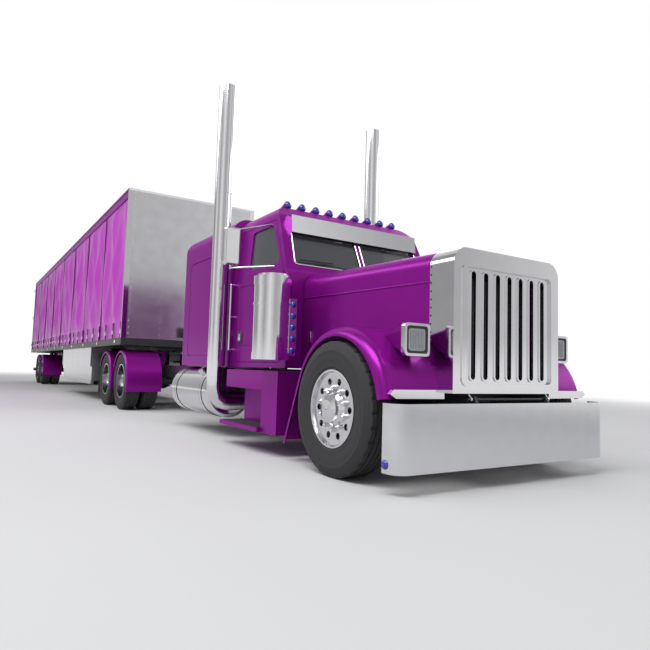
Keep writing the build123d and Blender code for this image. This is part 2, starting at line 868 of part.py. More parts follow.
def strut(start, end, radius):
    """A round bar between two points."""
    path = Vector(*end) - Vector(*start)
    with Locations(Plane(origin=start, z_dir=path)):
        Cylinder(radius, path.length, align=(Align.CENTER, Align.CENTER, Align.MIN))


with BuildPart() as mirror_left:
    with BuildSketch(Plane.YZ.offset(x_at(mirror_s))):
        with Locations((mirror_y, (mirror_low_z + mirror_high_z) / 2)):
            RectangleRounded(180, mirror_high_z - mirror_low_z, 35)
    extrude(amount=55)
    fillet(mirror_left.faces().sort_by(Axis.X)[-1].edges(), mirror_corner)
    bar_z(mirror_s - 8, mirror_y, mirror_low_z - 40, mirror_high_z - 10, 11)
    for foot_s, foot_z, post_z in mirror_arms:
        strut((x_at(foot_s), cab_half_width - 70, foot_z), (x_at(mirror_s - 8), mirror_y, post_z), 10)
    add(cab_outer, mode=Mode.SUBTRACT)
save(mirror_left, "mirror_left")
with BuildPart() as mirror_right:
    mirror(mirror_left.part, about=Plane.XZ)
save(mirror_right, "mirror_right")

# Visor over the windscreen with closed ends
visor_half_width = cab_roof_half_width - 75
visor_sheet = 6.0
visor_drop = 190.0
visor_reach = 110.0
visor_line = side_points([
    (windscreen_head_s - 2, cab_roof_z - 120),
    (windscreen_head_s - visor_reach, cab_roof_z - 140),
    (windscreen_head_s - visor_reach - 25, cab_roof_z - 140 - visor_drop),
])
with BuildPart() as visor:
    with BuildSketch(Plane.XZ):
        with BuildLine():
            Polyline(*visor_line)
            offset(amount=visor_sheet, side=Side.RIGHT)
        make_face()
    extrude(amount=visor_half_width, both=True)
    for visor_side in (-1, 1):
        with BuildSketch(Plane.XZ.offset(-visor_side * (visor_half_width - visor_sheet / 2))):
            with BuildLine():
                Polyline(
                    *visor_line,
                    (x_at(windscreen_head_s - 75), cab_roof_z - 330),
                    close=True,
                )
            make_face()
        extrude(amount=visor_sheet / 2, both=True)
    add(cab_outer, mode=Mode.SUBTRACT)
save(visor, "visor")

# Air cleaners on the cowl's corners, with a lamp strip in front
cleaner_s = cab_front_s - 60
cleaner_y = cab_half_width + 195
cleaner_radius = 188.0
cleaner_low_z = cab_bottom_z + 75
cleaner_high_z = cleaner_low_z + 800
# Each row holds a raised band's lower and upper height on the cleaner
cleaner_bands = [(0, 70), (520, 545), (715, 800)]
strip_lamps = 5
strip_lamp_pitch = 110.0
strip_y = cleaner_y - 150
strip_front_s = cleaner_s - 150
strip_low_z = cleaner_low_z + 40
strip_high_z = strip_low_z + strip_lamps * strip_lamp_pitch
with BuildPart() as air_cleaners:
    for cleaner_side in (-1, 1):
        y = cleaner_side * cleaner_y
        bar_z(cleaner_s, y, cleaner_low_z, cleaner_high_z, cleaner_radius - 6)
        for band_low, band_high in cleaner_bands:
            bar_z(cleaner_s, y, cleaner_low_z + band_low, cleaner_low_z + band_high, cleaner_radius)
        bar_z(cleaner_s, y, cleaner_high_z, cleaner_high_z + 26, cleaner_radius - 40)
        block(
            cleaner_s - 30, cab_front_s,
            cleaner_side * (cab_half_width - 60), cleaner_side * (cleaner_y - 100),
            cleaner_low_z + 210, cleaner_low_z + 610,
        )
        block(
            strip_front_s, strip_front_s + 70,
            cleaner_side * (strip_y - 38), cleaner_side * (strip_y + 38), strip_low_z, strip_high_z,
        )
save(air_cleaners, "air_cleaners")

# Marker lenses: roof row, cleaner strips and the two behind the bumper's ends
bumper_lamp_s = bumper_return + 14
with BuildPart() as marker_lamps:
    for lamp_number in range(roof_lamps):
        roof_lamp_y = (lamp_number - (roof_lamps - 1) / 2) * roof_lamp_pitch
        bar_x(roof_lamp_s - 26, roof_lamp_s, roof_lamp_y, roof_lamp_z, 40)
    for lamp_side in (-1, 1):
        for lamp_number in range(strip_lamps):
            bar_x(
                strip_front_s - 16, strip_front_s,
                lamp_side * strip_y, strip_low_z + (lamp_number + 0.5) * strip_lamp_pitch, 30,
            )
        bar_y(
            bumper_return - 38, bumper_bottom_z + 60,
            lamp_side * bumper_half_width, lamp_side * (bumper_half_width + 16), 34,
        )
save(marker_lamps, "marker_lamps")

# Sleeper: crossed outlines, hollow, with a passage to the cab and a ribbed panel each side
sleeper_side = side_points([
    (sleeper_front_s, cab_bottom_z),
    (sleeper_front_s, sleeper_roof_z),
    (sleeper_back_s, sleeper_roof_z),
    (sleeper_back_s, cab_bottom_z),
])


def sleeper_volume(inset):
    """Filled sleeper shape, drawn in by the given wall."""
    with BuildPart() as volume:
        with BuildSketch(Plane.XZ) as side:
            with BuildLine():
                Polyline(*sleeper_side, close=True)
            make_face()
            fillet(side.vertices().group_by(Axis.Y)[-1].sort_by(Axis.X)[0], 170)
            if inset:
                offset(amount=-inset, kind=Kind.INTERSECTION)
        extrude(amount=sleeper_half_width + 50, both=True)
        with BuildSketch(Plane.YZ.offset(x_at(sleeper_back_s + 50))) as front:
            with Locations((0, (cab_bottom_z + sleeper_roof_z) / 2)):
                Rectangle(2 * sleeper_half_width, sleeper_roof_z - cab_bottom_z)
            fillet(front.vertices().group_by(Axis.Y)[-1], 190)
            if inset:
                offset(amount=-inset, kind=Kind.INTERSECTION)
        extrude(amount=sleeper_length + 100, mode=Mode.INTERSECT)
    return volume.part


sleeper_outer = sleeper_volume(0)
sleeper_inner = sleeper_volume(sleeper_wall)
panel_s = (sleeper_front_s + sleeper_back_s) / 2 + 60
panel_z = (cab_bottom_z + sleeper_roof_z) / 2 - 125
panel_length = sleeper_length - 550
panel_height = sleeper_roof_z - cab_bottom_z - 510
panel_groove = 12.0
with BuildPart() as sleeper:
    add(sleeper_outer)
    add(sleeper_inner, mode=Mode.SUBTRACT)
    block(
        sleeper_front_s - 10, sleeper_front_s + 100, -450, 450, cab_bottom_z + 150, 2350, mode=Mode.SUBTRACT,
    )
    for panel_side in (-1, 1):
        with BuildSketch(Plane.XZ.offset(-panel_side * sleeper_half_width)):
            with Locations((x_at(panel_s), panel_z)):
                RectangleRounded(panel_length, panel_height, 90)
                RectangleRounded(
                    panel_length - 2 * panel_groove, panel_height - 2 * panel_groove, 78,
                    mode=Mode.SUBTRACT,
                )
        extrude(amount=10, both=True, mode=Mode.SUBTRACT)
save(sleeper, "sleeper")

# Exhaust stacks: straight pipes on an elbow that turns in under the cab
elbow_radius = 190.0
elbow_z = 430.0
with BuildPart() as stacks:
    bar_z(stack_s, stack_y, elbow_z + elbow_radius, stack_top_z, stack_radius)
    for joint_z in (stack_top_z - 2800, stack_top_z - 1350):
        bar_z(stack_s, stack_y, joint_z - 8, joint_z + 8, stack_radius + 4)
    with BuildSketch(Plane.XY.offset(elbow_z + elbow_radius)):
        with Locations((x_at(stack_s), stack_y)):
            Circle(stack_radius)
    revolve(
        axis=Axis((x_at(stack_s), stack_y - elbow_radius, elbow_z + elbow_radius), (-1, 0, 0)),
        revolution_arc=90,
    )
    bar_y(stack_s, elbow_z, 500, stack_y - elbow_radius, stack_radius)
    bar_z(stack_s, stack_y, stack_top_z - 300, stack_top_z + 10, stack_radius - 6, mode=Mode.SUBTRACT)
    for clamp_z in (cab_bottom_z + 400, sleeper_roof_z - 310):
        block(
            stack_s - 40, stack_s + 40,
            sleeper_half_width, stack_y - stack_radius + 30, clamp_z - 30, clamp_z + 30,
        )
    mirror(about=Plane.XZ)
save(stacks, "stacks")

# Fuel tanks with their straps and brackets to the rails
tank_front_s = stack_s + stack_radius + 30
tank_back_s = sleeper_back_s - 90
tank_corner = 45.0
with BuildPart() as fuel_tanks:
    bar_x(tank_front_s, tank_back_s, tank_y, tank_z, tank_radius)
    fillet(fuel_tanks.edges().filter_by(GeomType.CIRCLE), tank_corner)
    for strap_s in (tank_front_s + 230, tank_back_s - 230):
        bar_x(strap_s - 35, strap_s + 35, tank_y, tank_z, tank_radius + 5)
        block(strap_s - 35, strap_s + 35, rail_outer_y, tank_y - 200, rail_bottom_z, rail_top_z - 60)
    mirror(about=Plane.XZ)
save(fuel_tanks, "fuel_tanks")

# Step boxes under the doors, with a tread cut into the outer side
step_front_s = fender_tail_s + 95
step_back_s = stack_s - stack_radius - 330
step_low_z = 215.0
step_high_z = cab_bottom_z - 30
step_half_width = cab_half_width + 175
with BuildPart() as step_boxes:
    block(step_front_s, step_back_s, 640, step_half_width, step_low_z, step_high_z)
    block(
        step_front_s + 330, step_back_s + 10,
        step_half_width - 230, step_half_width + 10,
        step_low_z + 45, step_high_z - 190,
        mode=Mode.SUBTRACT,
    )
    block(
        step_front_s + 330, step_back_s + 60,
        step_half_width - 230, step_half_width + 40,
        step_low_z, step_low_z + 45,
    )
    block(step_front_s + 60, step_front_s + 160, rail_outer_y, 640, rail_bottom_z + 30, rail_top_z - 40)
    block(step_back_s - 160, step_back_s - 60, rail_outer_y, 640, rail_bottom_z + 30, rail_top_z - 40)
    mirror(about=Plane.XZ)
save(step_boxes, "step_boxes")

# Arched fenders over the twin wheels
dual_fender_radius = 572.0
dual_fender_inner_y = 570.0
dual_fender_outer_y = 1205.0
dual_fender_lip = 45.0


def dual_fender_face(angle, station):
    """Sheet section of a twin-wheel fender with its outer lip."""
    turn = radians(angle)
    plane = Plane(
        origin=(x_at(station), 0, dual_tyre_radius),
        x_dir=(cos(turn), 0, sin(turn)),
        z_dir=(-sin(turn), 0, cos(turn)),
    )
    with BuildSketch(plane) as section:
        with BuildLine():
            Polyline(
                (dual_fender_radius, dual_fender_inner_y),
                (dual_fender_radius, dual_fender_outer_y - 20),
                (dual_fender_radius - 20, dual_fender_outer_y),
                (dual_fender_radius - dual_fender_lip, dual_fender_outer_y),
                (dual_fender_radius - dual_fender_lip, dual_fender_outer_y - 6),
                (dual_fender_radius - 24, dual_fender_outer_y - 6),
                (dual_fender_radius - 8, dual_fender_outer_y - 24),
                (dual_fender_radius - 8, dual_fender_inner_y),
                close=True,
            )
        make_face()
    return section.sketch


with BuildPart() as drive_fenders:
    for axle_s in (drive_front_s, drive_rear_s):
        add(dual_fender_face(-18, axle_s))
        revolve(
            axis=Axis((x_at(axle_s), 0, dual_tyre_radius), (0, -1, 0)),
            revolution_arc=170,
        )
        block(
            axle_s - 7, axle_s + 7, rail_outer_y - 60, rail_outer_y,
            rail_top_z, dual_tyre_radius + dual_fender_radius - 4,
        )
        block(
            axle_s - 7, axle_s + 7, rail_outer_y - 60, dual_fender_inner_y + 40,
            dual_tyre_radius + dual_fender_radius - 30, dual_tyre_radius + dual_fender_radius - 4,
        )
    mirror(about=Plane.XZ)
save(drive_fenders, "drive_fenders")

# Fifth wheel: a slotted plate on two stands across the frame
with BuildPart() as fifth_wheel:
    bar_z(kingpin_s, 0, coupling_z - 45, coupling_z, 480)
    with BuildSketch(Plane.XY.offset(coupling_z - 60)):
        with BuildLine():
            Polyline(
                (x_at(kingpin_s), king_pin_radius + bearing_gap),
                (x_at(kingpin_s + 200), king_pin_radius + 30),
                (x_at(kingpin_s + 500), 230),
                (x_at(kingpin_s + 500), -230),
                (x_at(kingpin_s + 200), -king_pin_radius - 30),
                (x_at(kingpin_s), -king_pin_radius - bearing_gap),
                close=True,
            )
        make_face()
        with Locations((x_at(kingpin_s), 0)):
            Circle(king_pin_radius + bearing_gap)
    extrude(amount=80, mode=Mode.SUBTRACT)
    for stand_side in (-1, 1):
        block(
            kingpin_s - 170, kingpin_s + 170,
            stand_side * frame_inner_y, stand_side * (frame_inner_y + 60),
            rail_top_z, coupling_z - 40,
        )
save(fifth_wheel, "fifth_wheel")

# Seats and dashboard seen through the glass
cab_floor_z = cab_bottom_z + cab_wall
seat_back_s = cab_back_s - 182
seat_depth = 480.0
seat_height = 435.0
seat_back_height = 630.0
seat_centre_y = cab_half_width - 505
dash_half_width = cab_half_width - cab_wall - 60
dash_low_z = cab_floor_z + 555
dash_high_z = dash_low_z + 330
with BuildPart() as seats:
    for seat_y in (-seat_centre_y, seat_centre_y):
        block(
            seat_back_s - seat_depth, seat_back_s, seat_y - 240, seat_y + 240,
            cab_floor_z, cab_floor_z + seat_height,
        )
        block(
            seat_back_s - 120, seat_back_s, seat_y - 230, seat_y + 230,
            cab_floor_z + seat_height, cab_floor_z + seat_height + seat_back_height,
        )
save(seats, "seats")

with BuildPart() as dashboard:
    dash_front_s = cab_front_s + cab_wall
    block(dash_front_s, cab_front_s + 330, -dash_half_width, dash_half_width, dash_low_z, dash_high_z)
    block(dash_front_s, cab_front_s + 130, -dash_half_width, dash_half_width, cab_floor_z, dash_low_z)
    column_top = (x_at(cab_front_s + 658), seat_centre_y, dash_low_z + 190)
    strut((x_at(cab_front_s + 250), seat_centre_y, dash_low_z + 50), column_top, 30)
    with Locations(Plane(origin=column_top, z_dir=(-0.94, 0, 0.33))):
        Torus(225, 16)
        Box(440, 34, 18)
        Box(34, 440, 18)
save(dashboard, "dashboard")

# Trailer deck: side rails, cross-members, main beams, coupling plate and king pin
beam_y = 500.0
beam_drop = 340.0
beam_web = 16.0
beam_flange = 140.0
beam_flange_thickness = 18.0
side_rail_width = 70.0
member_width = 60.0
bay_count = 24
bay_front_s = kingpin_s + 2850
bay_pitch = (trailer_back_s - 200 - bay_front_s) / bay_count
with BuildPart() as trailer_deck:
    block(
        trailer_front_s, trailer_back_s, -trailer_half_width, trailer_half_width, rail_z, deck_z,
    )
    for bay in range(bay_count):
        bay_s = bay_front_s + bay * bay_pitch
        block(
            bay_s, bay_s + bay_pitch - member_width,
            side_rail_width - trailer_half_width, trailer_half_width - side_rail_width,
            rail_z - 1, deck_z + 1, mode=Mode.SUBTRACT,
        )
    block(
        trailer_front_s + 150, kingpin_s + 900, -560, 560, coupling_z + coupling_gap, rail_z,
    )
    bar_z(kingpin_s, 0, coupling_z - 80, rail_z, king_pin_radius)
    for beam_side in (-1, 1):
        with BuildSketch(Plane.XZ.offset(-beam_side * beam_y)):
            with BuildLine():
                Polyline(
                    *side_points([
                        (kingpin_s + 1950, rail_z),
                        (kingpin_s + 2250, rail_z - beam_drop),
                        (trailer_rear_axle_s + 700, rail_z - beam_drop),
                        (trailer_back_s - 300, rail_z - 160),
                        (trailer_back_s - 300, rail_z),
                    ]),
                    close=True,
                )
            make_face()
        extrude(amount=beam_web / 2, both=True)
        block(
            kingpin_s + 2250, trailer_rear_axle_s + 700,
            beam_side * beam_y - beam_flange / 2, beam_side * beam_y + beam_flange / 2,
            rail_z - beam_drop, rail_z - beam_drop + beam_flange_thickness,
        )
save(trailer_deck, "trailer_deck")

# Load floor inside the walls
wall_inset = 60.0
with BuildPart() as trailer_floor:
    block(
        trailer_front_s + wall_inset, trailer_back_s - 110,
        -trailer_half_width + wall_inset, trailer_half_width - wall_inset,
        deck_z, floor_top_z,
    )
save(trailer_floor, "trailer_floor")

# Front bulkhead between its corner posts
post_width = 90.0
with BuildPart() as bulkhead:
    block(
        trailer_front_s, trailer_front_s + 40,
        -trailer_half_width + post_width, trailer_half_width - post_width,
        deck_z, roof_z - 40,
    )
save(bulkhead, "bulkhead")

with BuildPart() as trailer_posts:
    for post_side in (-1, 1):
        post_outer = post_side * trailer_half_width
        post_inner = post_side * (trailer_half_width - post_width)
        block(trailer_front_s, trailer_front_s + 55, post_inner, post_outer, deck_z, roof_z - 40)
        block(trailer_back_s - 100, trailer_back_s, post_inner, post_outer, deck_z, roof_z - 160)
    block(
        trailer_back_s - 100, trailer_back_s,
        -trailer_half_width, trailer_half_width, roof_z - 160, roof_z - 40,
    )
save(trailer_posts, "trailer_posts")

# Roof sheet on its bows, with the cant rails along both sides
roof_sheet = 8.0
roof_bays = 14
roof_bow_width = 50.0
roof_bay_pitch = (trailer_length - 55 - 100 + roof_bow_width) / roof_bays
with BuildPart() as trailer_roof:
    block(trailer_front_s, trailer_back_s, -trailer_half_width, trailer_half_width, roof_z - 40, roof_z)
    for rail_side in (-1, 1):
        block(
            trailer_front_s + 55, trailer_back_s - 100,
            rail_side * (trailer_half_width - 8), rail_side * (trailer_half_width - 58),
            roof_z - cant_rail_height, roof_z - 40,
        )
    for bay in range(roof_bays):
        bay_s = trailer_front_s + 55 + bay * roof_bay_pitch
        block(
            bay_s, bay_s + roof_bay_pitch - roof_bow_width,
            58 - trailer_half_width, trailer_half_width - 58,
            roof_z - 41, roof_z - roof_sheet, mode=Mode.SUBTRACT,
        )
save(trailer_roof, "trailer_roof")

# Side curtains hung from the cant rails
with BuildPart() as curtains:
    for curtain_side in (-1, 1):
        block(
            trailer_front_s + 55, trailer_back_s - 100,
            curtain_side * (trailer_half_width - 18), curtain_side * (trailer_half_width - 34),
            deck_z, roof_z - cant_rail_height,
        )
save(curtains, "curtains")

# Rear doors with lock rods, hinged at the outer rear corners
door_hinge_out = 18.0
door_hinge_back = 14.0
with BuildPart() as rear_door_left:
    block(
        trailer_back_s + 0.3, trailer_back_s + rear_door_thickness,
        3, trailer_half_width - 4, rail_z + 10, roof_z - 10,
    )
    for rod_y in (160, 620):
        bar_z(
            trailer_back_s + rear_door_thickness + lock_rod_gap + lock_rod_radius,
            rod_y, rail_z + 30, roof_z - 30, lock_rod_radius,
        )
        for keeper_z in (1500, 2600, 3700):
            block(
                trailer_back_s + rear_door_thickness - 5,
                trailer_back_s + rear_door_thickness + lock_rod_gap + lock_rod_radius,
                rod_y - 40, rod_y + 40, keeper_z - 25, keeper_z + 25,
            )
    for hinge_z in (1500, 2650, 3800):
        block(
            trailer_back_s + rear_door_thickness - 20, trailer_back_s + rear_door_thickness + 8,
            trailer_half_width - 160, trailer_half_width + door_hinge_out, hinge_z - 40, hinge_z + 40,
        )
        bar_z(
            trailer_back_s + rear_door_thickness + door_hinge_back - 10,
            trailer_half_width + door_hinge_out, hinge_z - 60, hinge_z + 60, 10,
        )
save(rear_door_left, "rear_door_left")
with BuildPart() as rear_door_right:
    mirror(rear_door_left.part, about=Plane.XZ)
save(rear_door_right, "rear_door_right")

# Trailer axles on spring boxes under the main beams
with BuildPart() as trailer_axles:
    for axle_s in (trailer_front_axle_s, trailer_rear_axle_s):
        bar_y(axle_s, dual_tyre_radius, -dual_y + 200, dual_y - 200, 68)
        bar_y(axle_s, dual_tyre_radius, -dual_y - 50, dual_y + 50, spindle_radius)
        for seat_y in (-beam_y, beam_y):
            block(axle_s - 60, axle_s + 60, seat_y - 45, seat_y + 45, dual_tyre_radius, rail_z - 340)
save(trailer_axles, "trailer_axles")

with BuildPart() as trailer_fenders:
    for axle_s in (trailer_front_axle_s, trailer_rear_axle_s):
        add(dual_fender_face(-18, axle_s))
        revolve(
            axis=Axis((x_at(axle_s), 0, dual_tyre_radius), (0, -1, 0)),
            revolution_arc=216,
        )
        for stay_s in (axle_s - 250, axle_s + 250):
            block(
                stay_s - 12, stay_s + 12, 700, 760,
                dual_tyre_radius + sqrt(dual_fender_radius**2 - 250**2) - 14, rail_z,
            )
    mirror(about=Plane.XZ)
save(trailer_fenders, "trailer_fenders")

# Landing legs, cranked up clear of the ground
landing_s = kingpin_s + 2650
landing_y = beam_y + 140
with BuildPart() as landing_gear:
    for leg_y in (-landing_y, landing_y):
        block(landing_s - 70, landing_s + 70, leg_y - 70, leg_y + 70, 620, rail_z)
        block(landing_s - 52, landing_s + 52, leg_y - 52, leg_y + 52, 340, 620)
        block(landing_s - 120, landing_s + 120, leg_y - 110, leg_y + 110, 310, 340)
    bar_y(landing_s, 760, -landing_y, landing_y, 25)
save(landing_gear, "landing_gear")

# Side boxes below the deck
box_front_s = kingpin_s + 2000
box_length = 4200.0
box_back_s = box_front_s + box_length
box_outer_y = trailer_half_width - 20
box_depth = 425.0
box_wall = 10.0
box_flaps = 5
with BuildPart() as side_boxes:
    block(box_front_s, box_back_s, box_outer_y - box_depth, box_outer_y, 760, rail_z)
    block(box_front_s, box_back_s, box_outer_y - box_depth + 30, box_outer_y - 40, 440, 760)
    block(
        box_front_s + box_wall, box_back_s - box_wall, box_outer_y - box_depth - 1, box_outer_y - box_wall,
        760 + box_wall, rail_z - box_wall, mode=Mode.SUBTRACT,
    )
    block(
        box_front_s + box_wall, box_back_s - box_wall,
        box_outer_y - box_depth + 29, box_outer_y - 40 - box_wall,
        440 + box_wall, 760 - box_wall, mode=Mode.SUBTRACT,
    )
    for flap in range(1, box_flaps):
        flap_s = box_front_s + flap * box_length / box_flaps
        block(
            flap_s - 5, flap_s + 5, box_outer_y - 4, box_outer_y + 1, 775, rail_z - 15, mode=Mode.SUBTRACT,
        )
    block(box_front_s - 100, box_back_s + 100, box_outer_y - 70, box_outer_y - 10, 370, 440)
    mirror(about=Plane.XZ)
save(side_boxes, "side_boxes")

# Underride guard below the rear doors
guard_half_width = trailer_half_width - 125
with BuildPart() as underride_guard:
    block(trailer_back_s - 150, trailer_back_s - 30, -guard_half_width, guard_half_width, 450, 560)
    for strut_y in (-beam_y, beam_y):
        block(trailer_back_s - 140, trailer_back_s - 50, strut_y - 40, strut_y + 40, 560, rail_z)
save(underride_guard, "underride_guard")

# Lamps: a row along each side rail and three at each rear corner
rail_lamp_count = 10
rail_lamp_pitch = (trailer_length - 1000) / (rail_lamp_count - 1)
with BuildPart() as trailer_lamps:
    for lamp_side in (-1, 1):
        for lamp_number in range(rail_lamp_count):
            bar_y(
                trailer_front_s + 500 + lamp_number * rail_lamp_pitch, (rail_z + deck_z) / 2,
                lamp_side * trailer_half_width, lamp_side * (trailer_half_width + 12), 32,
            )
        for lamp_y_at in (760, 900, 1040):
            bar_x(trailer_back_s - 30, trailer_back_s - 5, lamp_side * lamp_y_at, 505, 48)
save(trailer_lamps, "trailer_lamps")
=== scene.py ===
"""Looks of the articulated lorry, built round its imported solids. Metres; +X forward, +Y left, +Z up."""
import json
import math
from itertools import product

import bmesh
import bpy
from mathutils import Matrix, Vector


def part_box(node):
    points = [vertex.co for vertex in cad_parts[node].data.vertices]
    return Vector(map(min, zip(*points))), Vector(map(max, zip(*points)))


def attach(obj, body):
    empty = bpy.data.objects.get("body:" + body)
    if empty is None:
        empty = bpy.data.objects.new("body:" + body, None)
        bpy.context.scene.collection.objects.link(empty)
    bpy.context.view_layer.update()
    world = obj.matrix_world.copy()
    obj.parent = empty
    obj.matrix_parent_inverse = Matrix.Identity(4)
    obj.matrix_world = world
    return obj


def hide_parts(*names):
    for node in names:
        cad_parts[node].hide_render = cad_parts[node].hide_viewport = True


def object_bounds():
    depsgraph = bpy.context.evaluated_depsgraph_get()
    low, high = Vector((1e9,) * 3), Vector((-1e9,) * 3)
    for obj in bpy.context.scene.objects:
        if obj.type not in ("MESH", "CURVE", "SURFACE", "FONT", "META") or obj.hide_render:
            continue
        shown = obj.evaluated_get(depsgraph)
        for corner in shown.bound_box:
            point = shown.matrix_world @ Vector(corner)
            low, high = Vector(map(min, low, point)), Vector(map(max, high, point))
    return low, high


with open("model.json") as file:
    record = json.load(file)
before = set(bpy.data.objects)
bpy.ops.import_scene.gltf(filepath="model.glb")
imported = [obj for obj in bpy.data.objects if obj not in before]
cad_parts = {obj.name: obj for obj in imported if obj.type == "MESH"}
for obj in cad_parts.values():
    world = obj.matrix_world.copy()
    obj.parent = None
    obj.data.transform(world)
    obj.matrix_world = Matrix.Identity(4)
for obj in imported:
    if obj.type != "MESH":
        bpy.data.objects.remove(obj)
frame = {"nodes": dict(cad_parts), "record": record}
cad_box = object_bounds()
nodes = frame["nodes"]

# Colours are linear RGB.
MAGENTA = (0.235, 0.007, 0.245)
CLOTH_MAGENTA = (0.45, 0.022, 0.46)
STRAP_PURPLE = (0.06, 0.01, 0.06)
CHROME = (0.68, 0.68, 0.70)
POLISHED = (0.64, 0.64, 0.66)
MIRROR = (0.85, 0.86, 0.88)
PANEL_GREY = (0.58, 0.58, 0.60)
ROOF_WHITE = (0.66, 0.66, 0.66)
BLACK = (0.022, 0.022, 0.025)
RUBBER = (0.025, 0.025, 0.027)
IRON = (0.11, 0.11, 0.12)
TRIM = (0.035, 0.034, 0.038)
SEAT_GREY = (0.06, 0.05, 0.065)
WOOD_BROWN = (0.26, 0.16, 0.08)
GLASS_TINT = (0.08, 0.085, 0.09)
LENS_BLUE = (0.012, 0.022, 0.34)
LENS_RED = (0.55, 0.01, 0.01)
LENS_CLEAR = (0.34, 0.35, 0.37)
LENS_PALE = (0.80, 0.76, 0.62)

# What all finishes share
COAT_ROUGHNESS = 0.04
MOTTLE_DETAIL = 6.0
ROUGHNESS_SPREAD = (0.8, 1.25)
GRAIN_STRENGTH = 0.6
# Numbers of a Mix node's colour sockets
MIX_FIRST, MIX_SECOND, MIX_RESULT = 6, 7, 2


def new_material(name):
    """A new material with its node tree and its main shader."""
    made = bpy.data.materials.new(name)
    made.use_nodes = True
    tree = made.node_tree
    return made, tree, tree.nodes["Principled BSDF"]


def material(
    name, color, roughness, mottle, metallic=0.0, coat=0.0, grain=None, specular=0.5, tint=(1, 1, 1),
):
    """A plain finish: colour with soft mottling, and a fine grain in the surface.
    mottle is (scale per metre, share of the colour); grain is (scale per metre, bump in metres)."""
    made, tree, shader = new_material(name)
    shader.inputs["Metallic"].default_value = metallic
    shader.inputs["Specular IOR Level"].default_value = specular
    shader.inputs["Specular Tint"].default_value = (*tint, 1)
    shader.inputs["Coat Weight"].default_value = coat
    shader.inputs["Coat Roughness"].default_value = COAT_ROUGHNESS
    place = tree.nodes.new("ShaderNodeTexCoord")
    cloud = tree.nodes.new("ShaderNodeTexNoise")
    cloud.inputs["Scale"].default_value = mottle[0]
    cloud.inputs["Detail"].default_value = MOTTLE_DETAIL
    tree.links.new(place.outputs["Object"], cloud.inputs["Vector"])
    mix = tree.nodes.new("ShaderNodeMix")
    mix.data_type = "RGBA"
    mix.inputs[MIX_FIRST].default_value = (*[c * (1 - mottle[1]) for c in color], 1)
    mix.inputs[MIX_SECOND].default_value = (*[min(c * (1 + mottle[1]), 1) for c in color], 1)
    tree.links.new(cloud.outputs["Fac"], mix.inputs["Factor"])
    tree.links.new(mix.outputs[MIX_RESULT], shader.inputs["Base Color"])
    spread = tree.nodes.new("ShaderNodeMapRange")
    spread.inputs["To Min"].default_value = roughness * ROUGHNESS_SPREAD[0]
    spread.inputs["To Max"].default_value = roughness * ROUGHNESS_SPREAD[1]
    tree.links.new(cloud.outputs["Fac"], spread.inputs["Value"])
    tree.links.new(spread.outputs["Result"], shader.inputs["Roughness"])
    if grain:
        fine = tree.nodes.new("ShaderNodeTexNoise")
        fine.inputs["Scale"].default_value = grain[0]
        tree.links.new(place.outputs["Object"], fine.inputs["Vector"])
        bump = tree.nodes.new("ShaderNodeBump")
        bump.inputs["Distance"].default_value = grain[1]
        bump.inputs["Strength"].default_value = GRAIN_STRENGTH
        tree.links.new(fine.outputs["Fac"], bump.inputs["Height"])
        tree.links.new(bump.outputs["Normal"], shader.inputs["Normal"])
    return made


paint = material(
    "paint", MAGENTA, roughness=0.3, mottle=(2.5, 0.10), metallic=0.5, coat=0.12, grain=(900, 0.00004),
    specular=0.25, tint=(0.85, 0.22, 0.85),
)
chrome = material("chrome", CHROME, roughness=0.09, mottle=(9.0, 0.05), metallic=1.0)
polished = material("polished", POLISHED, roughness=0.16, mottle=(14.0, 0.08), metallic=1.0)
black = material(
    "black", BLACK, roughness=0.45, mottle=(8.0, 0.25), metallic=0.1, coat=0.1, grain=(300, 0.0002),
)
rubber = material("rubber", RUBBER, roughness=0.75, mottle=(11.0, 0.3), grain=(450, 0.0004))
iron = material("iron", IRON, roughness=0.55, mottle=(7.0, 0.3), metallic=0.6, grain=(220, 0.0006))
panel = material("panel", PANEL_GREY, roughness=0.24, mottle=(5.0, 0.10), metallic=0.9)
white = material("white", ROOF_WHITE, roughness=0.6, mottle=(4.0, 0.05), specular=0.15)
trim = material("trim", TRIM, roughness=0.6, mottle=(20.0, 0.25), grain=(700, 0.0003))
seat_cloth = material("seat_cloth", SEAT_GREY, roughness=0.9, mottle=(60.0, 0.3), grain=(1200, 0.0006))
wood = material("wood", WOOD_BROWN, roughness=0.6, mottle=(12.0, 0.35), grain=(160, 0.0006))
cloth = material("cloth", CLOTH_MAGENTA, roughness=0.3, mottle=(3.0, 0.16), grain=(520, 0.00025))
strap_cloth = material("strap_cloth", STRAP_PURPLE, roughness=0.8, mottle=(40.0, 0.25), grain=(900, 0.0004))
red_lens = material("red_lens", LENS_RED, roughness=0.15, mottle=(30.0, 0.1), coat=0.6)
clear_lens = material(
    "clear_lens", LENS_CLEAR, roughness=0.14, mottle=(40.0, 0.2), metallic=0.5, coat=0.9, grain=(260, 0.0008),
)
rail_lens = material("rail_lens", LENS_PALE, roughness=0.2, mottle=(40.0, 0.1), coat=0.6)
blue_lens = material("blue_lens", LENS_BLUE, roughness=0.12, mottle=(45.0, 0.2), coat=0.9)
mirror_face = material("mirror_face", MIRROR, roughness=0.03, mottle=(3.0, 0.02), metallic=1.0)

# Dark glass that lets some of the cab's inside show
GLASS_ROUGHNESS, GLASS_ALPHA, GLASS_COAT = 0.03, 0.62, 0.5
glass, _, glass_shader = new_material("glass")
glass_shader.inputs["Base Color"].default_value = (*GLASS_TINT, 1)
glass_shader.inputs["Roughness"].default_value = GLASS_ROUGHNESS
glass_shader.inputs["Alpha"].default_value = GLASS_ALPHA
glass_shader.inputs["Coat Weight"].default_value = GLASS_COAT

